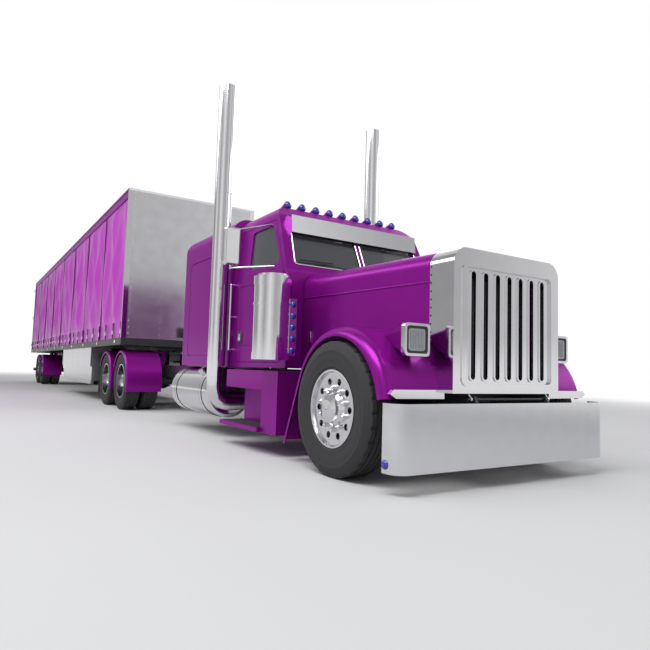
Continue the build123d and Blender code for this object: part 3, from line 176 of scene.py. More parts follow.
slot_materials = {
    "tyre": rubber, "polished_wheel": polished, "paint": paint, "chrome": chrome,
    "chassis_black": black, "engine_grey": iron, "glass": glass, "lens": clear_lens,
    "blue_lens": blue_lens, "seat_cloth": seat_cloth, "trim": trim, "floor_wood": wood,
    "panel_grey": panel, "roof_white": white, "curtain_cloth": cloth, "rail_lens": rail_lens,
}
for entry in frame["record"]["subparts"]:
    mesh = nodes[entry["node"]].data
    mesh.materials.clear()
    mesh.materials.append(slot_materials[entry["material_slot"]])


def recolour(node, finish, wanted):
    """Gives a second finish to the faces of a node whose centre passes the test."""
    mesh = nodes[node].data
    mesh.materials.append(finish)
    for face in mesh.polygons:
        if wanted(face.center):
            face.material_index = len(mesh.materials) - 1


# Facets of rounded forms, and the angles in degrees past which an edge stays sharp
BEVEL_SEGMENTS = 2
DOME_SIDES, DOME_LEVELS = 14, 8
LENS_SIDES, LENS_LEVELS = 24, 7
SHARP_ANGLE, CLOTH_SHARP_ANGLE, TYRE_SHARP_ANGLE = 35, 40, 38


class Piece:
    """One mesh of the scene, put together from simple forms and then set on a body."""

    def __init__(self, name, finish, body, slot, bm=None):
        self.name, self.finish, self.body, self.slot = name, finish, body, slot
        self.bm = bm or bmesh.new()

    def box(self, low, high, bevel=0.0):
        low, high = Vector(low), Vector(high)
        size = high - low
        made = bmesh.ops.create_cube(self.bm, size=1.0)["verts"]
        bmesh.ops.scale(self.bm, vec=[abs(v) for v in size], verts=made)
        bmesh.ops.translate(self.bm, vec=(low + high) / 2, verts=made)
        if bevel:
            edges = {e for v in made for e in v.link_edges}
            bmesh.ops.bevel(
                self.bm, geom=list(edges), offset=bevel, segments=BEVEL_SEGMENTS, affect="EDGES", profile=0.5,
            )

    def rod(self, start, end, radius, radius_end=None, sides=16):
        start, end = Vector(start), Vector(end)
        path = end - start
        made = bmesh.ops.create_cone(
            self.bm, cap_ends=True, segments=sides, radius1=radius,
            radius2=radius if radius_end is None else radius_end, depth=path.length,
        )["verts"]
        turn = Vector((0, 0, 1)).rotation_difference(path.normalized()).to_matrix().to_4x4()
        place = Matrix.Translation((start + end) / 2) @ turn
        bmesh.ops.transform(self.bm, matrix=place, verts=made)

    def dome(self, centre, radius, squash=(1, 1, 1)):
        made = bmesh.ops.create_uvsphere(
            self.bm, u_segments=DOME_SIDES, v_segments=DOME_LEVELS, radius=radius,
        )["verts"]
        bmesh.ops.scale(self.bm, vec=squash, verts=made)
        bmesh.ops.translate(self.bm, vec=Vector(centre), verts=made)

    def lens(self, centre, axis, radius, depth):
        """Half of a flattened ball whose flat side faces away from the axis."""
        axis = Vector(axis)
        turn = Vector((0, 0, 1)).rotation_difference(axis).to_matrix()
        rings = []
        for level in range(LENS_LEVELS):
            rise = 0.5 * math.pi * level / LENS_LEVELS
            rings.append([
                self.bm.verts.new(Vector(centre) + turn @ Vector((
                    radius * math.cos(rise) * math.cos(2 * math.pi * k / LENS_SIDES),
                    radius * math.cos(rise) * math.sin(2 * math.pi * k / LENS_SIDES),
                    depth * math.sin(rise),
                ))) for k in range(LENS_SIDES)
            ])
        tip = self.bm.verts.new(Vector(centre) + axis * depth)
        self.bm.faces.new(rings[0][::-1])
        for k in range(LENS_SIDES):
            after = (k + 1) % LENS_SIDES
            for lower, upper in zip(rings, rings[1:]):
                self.bm.faces.new((lower[k], lower[after], upper[after], upper[k]))
            self.bm.faces.new((rings[-1][k], rings[-1][after], tip))

    def done(self, smooth=True, replaces=()):
        mesh = bpy.data.meshes.new(self.name)
        self.bm.to_mesh(mesh)
        self.bm.free()
        made = bpy.data.objects.new(self.name, mesh)
        bpy.context.collection.objects.link(made)
        mesh.materials.append(self.finish)
        if smooth:
            mesh.shade_smooth()
            mesh.set_sharp_from_angle(angle=math.radians(SHARP_ANGLE))
        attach(made, self.body)
        if replaces:
            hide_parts(*replaces)
        return made


def middle(node):
    """Centre of a node's box."""
    low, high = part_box(node)
    return (Vector(low) + Vector(high)) / 2


def half_size(node):
    """Half the size of a node's box."""
    low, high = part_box(node)
    return (Vector(high) - Vector(low)) / 2


SIDES = (("left", 1), ("right", -1))


def out_by(sign, distance):
    """A step away from the lorry's middle plane, to the left or the right."""
    return Vector((0, sign * distance, 0))


# Tyres with ribs, grooves and shoulder cuts
RIM_RADIUS = 0.3114
TREAD_DEPTH = 0.013
TYRE_STEPS, STEPS_PER_CUT = 192, 6
CUT_SHARE = 0.8
SHOULDER_DROP, SHOULDER_SHARE = 0.006, 0.80
# The sidewall from the rim out, as shares of the wall's height and of half the tyre's width
SIDEWALL = (
    (0.0, 0.80), (0.06, 0.86), (0.10, 0.90), (0.14, 0.89), (0.30, 0.97), (0.50, 1.0),
    (0.62, 0.985), (0.64, 0.998), (0.68, 0.995), (0.70, 0.975), (0.88, 0.92),
)
# The tread's ribs, as shares of half the width; the outer two carry the cuts
RIBS = ((-0.78, -0.50), (-0.44, -0.17), (-0.11, 0.11), (0.17, 0.44), (0.50, 0.78))
GROOVE_FLANK = 0.002
OUTER_RIB_FROM, TREAD_EDGE_FROM = 0.49, 0.77


def tyre_mesh(name, radius, half):
    """A tyre round the Y axis, with rings on its sidewalls, grooves round its tread and cut shoulders."""
    wall = radius - RIM_RADIUS
    side = [(RIM_RADIUS + up * wall, wide) for up, wide in SIDEWALL]
    side.append((radius - SHOULDER_DROP, SHOULDER_SHARE))
    outline = [(r, -wide * half, False) for r, wide in side]
    for low, high in RIBS:
        for wide, foot in (
            (low, True), (low + GROOVE_FLANK, False), (high - GROOVE_FLANK, False), (high, True),
        ):
            grooved = foot and abs(wide) < TREAD_EDGE_FROM
            drop = TREAD_DEPTH if grooved else 0
            outline.append((radius - drop, wide * half, abs(wide) > OUTER_RIB_FROM))
    outline += [(r, wide * half, False) for r, wide in reversed(side)]
    verts, faces = [], []
    count = len(outline)
    for step in range(TYRE_STEPS):
        turn = 2 * math.pi * step / TYRE_STEPS
        cut = step % STEPS_PER_CUT == 0
        for r, y, shoulder in outline:
            deep = r - TREAD_DEPTH * CUT_SHARE if cut and shoulder else r
            verts.append((deep * math.cos(turn), y, deep * math.sin(turn)))
    for step in range(TYRE_STEPS):
        this, following = step * count, (step + 1) % TYRE_STEPS * count
        for k in range(count):
            after = (k + 1) % count
            faces.append((this + k, following + k, following + after, this + after))
    mesh = bpy.data.meshes.new(name)
    mesh.from_pydata(verts, [], faces)
    mesh.materials.append(rubber)
    mesh.shade_smooth()
    mesh.set_sharp_from_angle(angle=math.radians(TYRE_SHARP_ANGLE))
    return mesh


def place_tyre(name, mesh, centre, body, node):
    """Sets one tyre on its wheel's body in place of the plain solid."""
    made = bpy.data.objects.new(name, mesh)
    bpy.context.collection.objects.link(made)
    made.location = centre
    bpy.context.view_layer.update()
    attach(made, body)
    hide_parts(node)


DUAL_SPACING = 0.330
front_half = half_size("front_tyre_left")
front_tyre = tyre_mesh("front_tyre_ribbed", front_half.z, front_half.y)
dual_half = half_size("drive_wheels_front_left")
dual_tyre = tyre_mesh("twin_tyre_ribbed", dual_half.x, dual_half.y - DUAL_SPACING / 2)

# Wheel nuts; their ends are distances out from the middle of the wheel
NUTS, NUT_CIRCLE, NUT_RADIUS = 10, 0.167, 0.019
FRONT_NUT_BASE, FRONT_NUT_TOP, FRONT_CAP_TOP = 0.085, 0.118, 0.132
CAP_RADIUS, CAP_TIP_RADIUS = 0.014, 0.006
TWIN_NUT_BASE, TWIN_NUT_TOP = 0.012, 0.045
# What lies outside this radius of a twin wheel is the plain tyre
RIM_EDGE = RIM_RADIUS - 0.0002


def nut_places(centre):
    """Places of the nuts round a wheel, in the plane of its centre."""
    for k in range(NUTS):
        turn = 2 * math.pi * (k + 0.5) / NUTS
        yield centre + Vector((NUT_CIRCLE * math.cos(turn), 0, NUT_CIRCLE * math.sin(turn)))


for side, sign in SIDES:
    node, body = f"front_tyre_{side}", f"front_{side}"
    centre = middle(node)
    place_tyre(f"{node}_ribbed", front_tyre, centre, body, node)
    nuts = Piece(f"front_nuts_{side}", chrome, body, "chrome")
    for at in nut_places(centre):
        base, top, tip = (at + out_by(sign, d) for d in (FRONT_NUT_BASE, FRONT_NUT_TOP, FRONT_CAP_TOP))
        nuts.rod(base, top, NUT_RADIUS, sides=6)
        nuts.rod(top, tip, CAP_RADIUS, CAP_TIP_RADIUS, sides=10)
    nuts.done()

for unit, end, (side, sign) in product(("drive", "trailer"), ("front", "rear"), SIDES):
    node, body = f"{unit}_wheels_{end}_{side}", f"{unit}_{end}_{side}"
    centre = middle(node)
    for place, step in (("outer", sign), ("inner", -sign)):
        at = centre + out_by(step, DUAL_SPACING / 2)
        place_tyre(f"{node}_{place}_tyre", dual_tyre, at, body, node)
    rim = bmesh.new()
    rim.from_mesh(nodes[node].data)
    gone = [v for v in rim.verts if math.hypot(v.co.x - centre.x, v.co.z - centre.z) > RIM_EDGE]
    bmesh.ops.delete(rim, geom=gone, context="VERTS")
    rims = Piece(f"{node}_rims", polished, body, "polished_wheel", rim)
    for at in nut_places(centre):
        rims.rod(at + out_by(sign, TWIN_NUT_BASE), at + out_by(sign, TWIN_NUT_TOP), NUT_RADIUS, sides=6)
    rims.done(replaces=[node])

# Hood unit: rivets along the surround's seam, and beads along the creases
SURROUND_HALF = 0.620
SEAM_RIVETS, SEAM_RIVET_LOW, SEAM_RIVET_STEP = 15, 0.78, 0.064
SEAM_RIVET_AHEAD, SEAM_RIVET_RADIUS, SEAM_RIVET_SQUASH = 0.014, 0.0085, (1, 0.6, 1)
CREASE_Z, CREASE_PROUD = 1.56, 0.001
CREASE_RADIUS, TOP_CREASE_RADIUS = 0.007, 0.010
hood_low, hood_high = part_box("hood")
seam_x, hood_rear_half = hood_high[0], hood_high[1]
rivets = Piece("surround_rivets", black, "hood_unit", "chassis_black")
for _, sign in SIDES:
    for k in range(SEAM_RIVETS):
        at = (seam_x + SEAM_RIVET_AHEAD, sign * SURROUND_HALF, SEAM_RIVET_LOW + SEAM_RIVET_STEP * k)
        rivets.dome(at, SEAM_RIVET_RADIUS, SEAM_RIVET_SQUASH)
rivets.done()
creases = Piece("hood_crease", paint, "hood_unit", "paint")
for _, sign in SIDES:
    creases.rod(
        (seam_x, sign * (SURROUND_HALF + CREASE_PROUD), CREASE_Z),
        (hood_low[0], sign * (hood_rear_half + CREASE_PROUD), CREASE_Z), CREASE_RADIUS, sides=10,
    )
crest_z = hood_high[2] + CREASE_PROUD
creases.rod((seam_x, 0, crest_z), (hood_low[0], 0, crest_z), TOP_CREASE_RADIUS, sides=12)
creases.done()

# Headlamps: a black step inside each bezel, and upright ribs on each lens
LENS_RIBS, LENS_RIB_RADIUS, LENS_RIB_INSET = 9, 0.004, 0.012
RIBBED_SHARE = 0.94
BEZEL_STEP, SAME_PLANE = 0.002, 0.001
lens_low, lens_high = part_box("headlamp_lenses")
lens_size = lens_high[2] - lens_low[2]
bezel_step_x = lens_high[0] - BEZEL_STEP
recolour("headlamps", black, lambda c: abs(c.x - bezel_step_x) < SAME_PLANE)
lens_ribs = Piece("headlamp_ribs", clear_lens, "hood_unit", "lens")
for _, sign in SIDES:
    lens_y = sign * (lens_high[1] - lens_size / 2)
    for k in range(LENS_RIBS):
        y = lens_y + (k - LENS_RIBS // 2) * lens_size * RIBBED_SHARE / (LENS_RIBS + 1)
        lens_ribs.rod(
            (lens_high[0], y, lens_low[2] + LENS_RIB_INSET), (lens_high[0], y, lens_high[2] - LENS_RIB_INSET),
            LENS_RIB_RADIUS, sides=8,
        )
lens_ribs.done()

# Windscreen: chrome gaskets round its two panes, and wipers
SCREEN_LEAN = 0.468
SCREEN_INNER, SCREEN_OUTER_LOW, SCREEN_OUTER_HIGH = 0.028, 0.875, 0.825
SCREEN_HEAD_DROP = 0.020
SCREEN_CORNER = 0.040
GLASS_DEPTH, GASKET_RADIUS = 0.016, 0.009
WIPER_PROUD, WIPER_PIVOT_Y, WIPER_TIP_Y, WIPER_TIP_RISE = 0.024, 0.12, 0.62, 0.05
WIPER_ARM_RADIUS, WIPER_BLADE_RADIUS, WIPER_PIVOT_RADIUS = 0.006, 0.008, 0.018
BLADE_INWARD, BLADE_OUTWARD, BLADE_LIFT = 0.22, 0.20, 0.01
screen_low, screen_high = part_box("windscreen")
slope = Vector((-SCREEN_LEAN, 0, 1)).normalized()
outward = Vector((slope.z, 0, -slope.x))


def on_screen(y, z, proud):
    """A point at a height on the windscreen's slope, standing proud of the glass."""
    return Vector((screen_high[0] - SCREEN_LEAN * (z - screen_low[2]), y, z)) + outward * proud


def rounded(corners, radius, steps=6):
    """Points round a closed outline whose corners are taken off by arcs."""
    points = []
    for before, corner, after in zip(corners[-1:] + corners[:-1], corners, corners[1:] + corners[:1]):
        start = corner + (before - corner).normalized() * radius
        end = corner + (after - corner).normalized() * radius
        for k in range(steps + 1):
            share = k / steps
            points.append((1 - share) ** 2 * start + 2 * share * (1 - share) * corner + share ** 2 * end)
    return points


def bead_round(piece, points, radius):
    """A round bead along a closed line of points."""
    for a, b in zip(points, points[1:] + points[:1]):
        piece.rod(a, b, radius, sides=10)
        piece.dome(a, radius)


gaskets = Piece("windscreen_gaskets", chrome, "tractor", "chrome")
wipers = Piece("wipers", trim, "tractor", "trim")
sill_z, head_z = screen_low[2], screen_high[2]
for _, sign in SIDES:
    corners = [
        on_screen(sign * SCREEN_INNER, sill_z, GLASS_DEPTH),
        on_screen(sign * SCREEN_OUTER_LOW, sill_z, GLASS_DEPTH),
        on_screen(sign * SCREEN_OUTER_HIGH, head_z - SCREEN_HEAD_DROP, GLASS_DEPTH),
        on_screen(sign * SCREEN_INNER, head_z, GLASS_DEPTH),
    ]
    bead_round(gaskets, rounded(corners, SCREEN_CORNER), GASKET_RADIUS)
    pivot = on_screen(sign * WIPER_PIVOT_Y, sill_z, WIPER_PROUD)
    tip = on_screen(sign * WIPER_TIP_Y, sill_z + WIPER_TIP_RISE, WIPER_PROUD)
    wipers.rod(pivot, tip, WIPER_ARM_RADIUS, sides=8)
    blade_start = tip - out_by(sign, BLADE_INWARD) + slope * BLADE_LIFT
    wipers.rod(blade_start, tip + out_by(sign, BLADE_OUTWARD), WIPER_BLADE_RADIUS, sides=8)
    wipers.dome(pivot, WIPER_PIVOT_RADIUS)
gaskets.done()
wipers.done()

# Marker and trailer lamps: how far a domed lens stands out, as a share of the disc's thickness
LENS_SWELL = 1.25
SAME_POINT = 1e-5


def islands(bm):
    """Lists of the places of the vertices that hang together, one list for each separate form."""
    bmesh.ops.remove_doubles(bm, verts=bm.verts, dist=SAME_POINT)
    bm.verts.index_update()
    bm.verts.ensure_lookup_table()
    reached = set()
    for first in bm.verts:
        if first.index in reached:
            continue
        island, waiting = [], [first]
        reached.add(first.index)
        while waiting:
            vert = waiting.pop()
            island.append(vert.co.copy())
            for edge in vert.link_edges:
                other = edge.other_vert(vert)
                if other.index not in reached:
                    reached.add(other.index)
                    waiting.append(other)
        yield island


def domed_lamps(node, finishes, body):
    """Puts a domed lens in place of each plain disc of a node.
    Each finish is (name, material, slot, test of the disc's centre)."""
    discs = bmesh.new()
    discs.from_mesh(nodes[node].data)
    made = {name: Piece(name, finish, body, slot) for name, finish, slot, _ in finishes}
    for island in islands(discs):
        low = Vector([min(p[k] for p in island) for k in range(3)])
        high = Vector([max(p[k] for p in island) for k in range(3)])
        size, centre = high - low, (low + high) / 2
        thin = min(range(3), key=lambda k: size[k])
        way = -1 if centre[thin] < 0 else 1
        axis = Vector([way if k == thin else 0 for k in range(3)])
        name = next(name for name, _, _, test in finishes if test(centre))
        made[name].lens(centre - axis * size[thin] / 2, axis, max(size) / 2, size[thin] * LENS_SWELL)
    discs.free()
    for piece in made.values():
        piece.done(replaces=[node])


domed_lamps("marker_lamps", [("marker_lenses", blue_lens, "blue_lens", lambda c: True)], "tractor")

# Cab doors: handles in dark recesses, beads and mirror faces; depths are measured out from the door's skin
DOOR_SKIN_Y = 0.985
HANDLE_INSET, HANDLE_Z = 0.11, 1.19
HANDLE_HALF, HANDLE_DEPTHS, HANDLE_BEVEL = 0.042, (0.006, 0.020), 0.006
RECESS_HALF, RECESS_DEPTHS, RECESS_BEVEL = 0.066, (-0.004, 0.008), 0.004
BEAD_HEIGHTS, BEAD_INSET, BEAD_RADIUS = (1.10, 1.78), 0.05, 0.006
MIRROR_WIDTH, MIRROR_FOOT, MIRROR_HEIGHT, MIRROR_BORDER = 0.18, 0.055, 0.37, 0.014
MIRROR_SINK, MIRROR_PROUD, MIRROR_BEVEL = 0.004, 0.002, 0.0015


def handle_plate(piece, x, sign, half, depths, bevel):
    """A square plate at the door handle's place, between two depths."""
    inner, outer = (sign * (DOOR_SKIN_Y + depth) for depth in depths)
    piece.box((x - half, inner, HANDLE_Z - half), (x + half, outer, HANDLE_Z + half), bevel)


for side, sign in SIDES:
    body = f"{side}_door"
    door_low, door_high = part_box(f"cab_door_{side}")
    handle_x = door_low[0] + HANDLE_INSET
    recess = Piece(f"door_recess_{side}", trim, body, "trim")
    handle_plate(recess, handle_x, sign, RECESS_HALF, RECESS_DEPTHS, RECESS_BEVEL)
    recess.done()
    fittings = Piece(f"door_fittings_{side}", chrome, body, "chrome")
    handle_plate(fittings, handle_x, sign, HANDLE_HALF, HANDLE_DEPTHS, HANDLE_BEVEL)
    fittings.done()
    bead = Piece(f"door_bead_{side}", paint, body, "paint")
    skin_y = sign * DOOR_SKIN_Y
    for z in BEAD_HEIGHTS:
        bead.rod(
            (door_low[0] + BEAD_INSET, skin_y, z), (door_high[0] - BEAD_INSET, skin_y, z),
            BEAD_RADIUS, sides=10,
        )
    bead.done()
    mirror_low, mirror_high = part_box(f"mirror_{side}")
    outer = sign * max(abs(mirror_low[1]), abs(mirror_high[1]))
    inner = outer - sign * MIRROR_WIDTH
    face_z = mirror_low[2] + MIRROR_FOOT
    face = Piece(f"mirror_face_{side}", mirror_face, body, "chrome")
    face.box(
        (mirror_low[0] - MIRROR_PROUD, inner + sign * MIRROR_BORDER, face_z),
        (mirror_low[0] + MIRROR_SINK, outer - sign * MIRROR_BORDER, face_z + MIRROR_HEIGHT), MIRROR_BEVEL,
    )
    face.done()

# Grab rails behind the doors
GRAB_INSET, GRAB_Y, GRAB_FOOT_Y = 0.07, 1.035, 0.98
GRAB_HEIGHTS = (1.05, 1.435, 1.82)
GRAB_RADIUS, GRAB_FOOT_RADIUS = 0.014, 0.011
grab_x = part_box("cab")[0][0] + GRAB_INSET
grab = Piece("grab_rails", chrome, "tractor", "chrome")
for _, sign in SIDES:
    rail_y = sign * GRAB_Y
    grab.rod((grab_x, rail_y, GRAB_HEIGHTS[0]), (grab_x, rail_y, GRAB_HEIGHTS[-1]), GRAB_RADIUS)
    for z in GRAB_HEIGHTS:
        grab.rod((grab_x, sign * GRAB_FOOT_Y, z), (grab_x, rail_y, z), GRAB_FOOT_RADIUS)
        grab.dome((grab_x, rail_y, z), GRAB_RADIUS)
grab.done()

# Hood catches
CATCH_INSET, CATCH_SINK, CATCH_Z, CATCH_BEVEL = 0.12, 0.010, 1.16, 0.004
CATCH_HALF = Vector((0.025, 0.012, 0.06))
catches = Piece("hood_catches", chrome, "hood_unit", "chrome")
for _, sign in SIDES:
    catch = Vector((hood_low[0] + CATCH_INSET, sign * (hood_rear_half - CATCH_SINK), CATCH_Z))
    catches.box(catch - CATCH_HALF, catch + CATCH_HALF, CATCH_BEVEL)
catches.done()

# Deck plate behind the sleeper, in strips across the frame
WALK_STRIPS, WALK_STRIP_LENGTH, WALK_HALF = 12, 0.105, 0.43
WALK_START, WALK_END = 0.06, 1.5
WALK_LOW, WALK_HIGH, WALK_BEVEL = 0.8402, 0.852, 0.003
sleeper_rear_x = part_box("sleeper")[0][0]
walk = Piece("walk_plate", panel, "tractor", "panel_grey")
for k in range(WALK_STRIPS):
    x = sleeper_rear_x - WALK_START - (WALK_END - WALK_START) * k / WALK_STRIPS
    walk.box((x - WALK_STRIP_LENGTH, -WALK_HALF, WALK_LOW), (x, WALK_HALF, WALK_HIGH), WALK_BEVEL)
walk.done()

# Tanks: filler caps and rubber liners under the straps; steps: rows of treads
TANK_RADIUS, TANK_Y, TANK_Z = 0.305, 0.870, 0.530
STRAP_INSET, LINER_HALF, LINER_PROUD, LINER_SIDES = 0.230, 0.046, 0.003, 72
FILLER_INSET, FILLER_Y, FILLER_DROP, FILLER_RADIUS = 0.45, 1.05, 0.075, 0.055
FILLER_LEAN, FILLER_RISE = 0.035, 0.05
TREADS, TREAD_FIRST_Y, TREAD_PITCH, TREAD_HALF = 5, 0.96, 0.05, 0.014
TREAD_REAR_INSET, TREAD_FRONT_INSET = 0.03, 0.36
TREAD_LOW, TREAD_HIGH, TREAD_BEVEL = 0.2595, 0.2655, 0.002
tank_low, tank_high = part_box("fuel_tanks")
step_low, step_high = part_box("step_boxes")
caps = Piece("tank_caps", chrome, "tractor", "chrome")
liners = Piece("tank_strap_liners", rubber, "tractor", "tyre")
treads = Piece("step_treads", trim, "tractor", "trim")
for _, sign in SIDES:
    filler = Vector((tank_high[0] - FILLER_INSET, sign * FILLER_Y, tank_high[2] - FILLER_DROP))
    caps.rod(filler, filler + Vector((0, sign * FILLER_LEAN, FILLER_RISE)), FILLER_RADIUS)
    for x in (tank_low[0] + STRAP_INSET, tank_high[0] - STRAP_INSET):
        strap = Vector((x, sign * TANK_Y, TANK_Z))
        along = Vector((LINER_HALF, 0, 0))
        liners.rod(strap - along, strap + along, TANK_RADIUS + LINER_PROUD, sides=LINER_SIDES)
    for k in range(TREADS):
        y = sign * (TREAD_FIRST_Y + TREAD_PITCH * k)
        treads.box(
            (step_low[0] + TREAD_REAR_INSET, y - TREAD_HALF, TREAD_LOW),
            (step_high[0] - TREAD_FRONT_INSET, y + TREAD_HALF, TREAD_HIGH), TREAD_BEVEL,
        )
caps.done()
liners.done()
treads.done()

# Mud flaps hang from arms behind the last twin wheels
FLAP_BEHIND, FLAP_HALF, FLAP_LOW, FLAP_HIGH = 0.605, 0.30, 0.22, 0.94
FLAP_HALF_THICK, FLAP_BEVEL = 0.006, 0.003
ARM_LOW, ARM_HALF_THICK, ARM_BEVEL = 0.90, 0.012, 0.004
ARM_INNER_SHARE = 0.46
for unit, node in (("tractor", "drive_wheels_rear"), ("trailer", "trailer_wheels_rear")):
    flaps = Piece(f"{unit}_flaps", rubber, unit, "tyre")
    for side, sign in SIDES:
        at = middle(f"{node}_{side}")
        x = at.x - FLAP_BEHIND
        flaps.box(
            (x - FLAP_HALF_THICK, at.y - FLAP_HALF, FLAP_LOW),
            (x + FLAP_HALF_THICK, at.y + FLAP_HALF, FLAP_HIGH), FLAP_BEVEL,
        )
        flaps.box(
            (x - ARM_HALF_THICK, at.y * ARM_INNER_SHARE, ARM_LOW),
            (x + ARM_HALF_THICK, at.y + sign * FLAP_HALF, FLAP_HIGH), ARM_BEVEL,
        )
    flaps.done()

# Seats: crowned cushions on a plain base
SEAT_INNER_Y, SEAT_OUTER_Y = 0.24, 0.72
BASE_INSET, BASE_BEVEL = 0.08, 0.02
CUSHION_LOW, CUSHION_HIGH = 1.18, 1.32
CUSHION_REAR_GAP, CUSHION_INSET = 0.020, 0.015
BACK_LOW, BACK_HIGH = 1.34, 1.945
BACK_REAR, BACK_FRONT, BACK_INSET = 0.012, 0.112, 0.02
CUSHION_CUTS, CORNER_PULL, CROWN = 9, 0.06, 0.012
ON_FACE = 0.999
seat_low, seat_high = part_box("seats")


def cushion(name, low, high):
    """A padded block whose faces swell out and whose edges pull in."""
    low, high = Vector(low), Vector(high)
    bm = bmesh.new()
    bmesh.ops.create_cube(bm, size=2.0)
    bmesh.ops.subdivide_edges(bm, edges=bm.edges, cuts=CUSHION_CUTS, use_grid_fill=True)
    for v in bm.verts:
        p = v.co.copy()
        at_edges = (p.x ** 4 * p.y ** 4 + p.y ** 4 * p.z ** 4 + p.x ** 4 * p.z ** 4) / 3
        pull = 1 - CORNER_PULL * at_edges
        swell = Vector([
            math.copysign(1, c) * CROWN * max(0, (1 - a * a) * (1 - b * b)) if abs(c) > ON_FACE else 0
            for c, a, b in ((p.x, p.y, p.z), (p.y, p.x, p.z), (p.z, p.x, p.y))
        ])
        v.co = (low + high) / 2 + Vector([pull * c * s / 2 for c, s in zip(p, high - low)]) + swell
    made = Piece(name, seat_cloth, "tractor", "seat_cloth", bm).done(replaces=["seats"])
    smooth = made.modifiers.new("round", "SUBSURF")
    smooth.levels = smooth.render_levels = 1


bases = Piece("seat_bases", trim, "tractor", "trim")
front_x, back_x = seat_high[0], seat_low[0]
for side, sign in SIDES:
    y0, y1 = sorted((sign * SEAT_INNER_Y, sign * SEAT_OUTER_Y))
    bases.box(
        (back_x + BASE_INSET, y0 + BASE_INSET, seat_low[2]),
        (front_x - BASE_INSET, y1 - BASE_INSET, CUSHION_LOW), BASE_BEVEL,
    )
    cushion(
        f"seat_cushion_{side}", (back_x + CUSHION_REAR_GAP, y0 + CUSHION_INSET, CUSHION_LOW),
        (front_x - CUSHION_INSET, y1 - CUSHION_INSET, CUSHION_HIGH),
    )
    cushion(
        f"seat_back_{side}", (back_x + BACK_REAR, y0 + BACK_INSET, BACK_LOW),
        (back_x + BACK_FRONT, y1 - BACK_INSET, BACK_HIGH),
    )
bases.done(replaces=["seats"])

# Trailer: cant rails in paint, red tail lamps and pale rail lamps
CANT_RAIL_Y, ROOF_SKIN = 1.21, 0.001
TAIL_LAMP_REACH, TAIL_LAMP_TOP = 0.2, 0.8
roof_low, roof_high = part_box("trailer_roof")
rear_x, roof_z = roof_low[0], roof_high[2]
recolour("trailer_roof", paint, lambda c: abs(c.y) > CANT_RAIL_Y and c.z < roof_z - ROOF_SKIN)
domed_lamps("trailer_lamps", [
    ("tail_lenses", red_lens, "rail_lens", lambda c: c.x < rear_x + TAIL_LAMP_REACH and c.z < TAIL_LAMP_TOP),
    ("rail_lenses", rail_lens, "rail_lens", lambda c: True),
], "trailer")

# Bulkhead: rivet rows and a plain coupling box for the hoses, as heights above the bulkhead's foot
RIVET_ROWS_Y = (-1.15, -0.58, 0.0, 0.58, 1.15)
ROW_RIVETS, ROW_RIVET_FIRST, ROW_RIVET_STEP = 22, 0.08, 0.12
ROW_RIVET_RADIUS, ROW_RIVET_SQUASH = 0.009, (0.5, 1, 1)
HOSE_BOX_HALF, HOSE_BOX_DEPTH, HOSE_BOX_BEVEL = 0.24, 0.05, 0.01
HOSE_BOX_LOW, HOSE_BOX_HIGH = 0.06, 0.24
SOCKETS_Y, SOCKET_RADIUS, SOCKET_REACH = (-0.15, -0.05, 0.05, 0.15), 0.026, 0.09
SOCKET_BASE_RISE, SOCKET_END_RISE = 0.15, 0.13
bulk_low, bulk_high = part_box("bulkhead")
bulk_x, bulk_z = bulk_high[0], bulk_low[2]
bulk_rivets = Piece("bulkhead_rivets", panel, "trailer", "panel_grey")
for y in RIVET_ROWS_Y:
    for k in range(ROW_RIVETS):
        at = (bulk_x, y, bulk_z + ROW_RIVET_FIRST + ROW_RIVET_STEP * k)
        bulk_rivets.dome(at, ROW_RIVET_RADIUS, ROW_RIVET_SQUASH)
bulk_rivets.done()
hose_box = Piece("hose_box", black, "trailer", "chassis_black")
hose_box.box(
    (bulk_x, -HOSE_BOX_HALF, bulk_z + HOSE_BOX_LOW),
    (bulk_x + HOSE_BOX_DEPTH, HOSE_BOX_HALF, bulk_z + HOSE_BOX_HIGH), HOSE_BOX_BEVEL,
)
for y in SOCKETS_Y:
    hose_box.rod(
        (bulk_x + HOSE_BOX_DEPTH, y, bulk_z + SOCKET_BASE_RISE),
        (bulk_x + SOCKET_REACH, y, bulk_z + SOCKET_END_RISE), SOCKET_RADIUS,
    )
hose_box.done()

# Landing leg crank on the right: shaft, arm and grip
CRANK_IN, CRANK_OUT, GRIP_OUT = 0.04, 0.09, 0.19
CRANK_Z, GRIP_Z, GRIP_AHEAD = 0.78, 0.56, 0.02
CRANK_RADIUS, GRIP_RADIUS = 0.012, 0.014
leg_low, leg_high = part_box("landing_gear")
crank_x, leg_y = (leg_low[0] + leg_high[0]) / 2, leg_low[1]
shaft_end = (crank_x, leg_y - CRANK_OUT, CRANK_Z)
arm_end = (crank_x + GRIP_AHEAD, leg_y - CRANK_OUT, GRIP_Z)
crank = Piece("landing_crank", iron, "trailer", "engine_grey")
crank.rod((crank_x, leg_y + CRANK_IN, CRANK_Z), shaft_end, CRANK_RADIUS)
crank.rod(shaft_end, arm_end, CRANK_RADIUS)
crank.rod(arm_end, (crank_x + GRIP_AHEAD, leg_y - GRIP_OUT, GRIP_Z), GRIP_RADIUS)
crank.done()

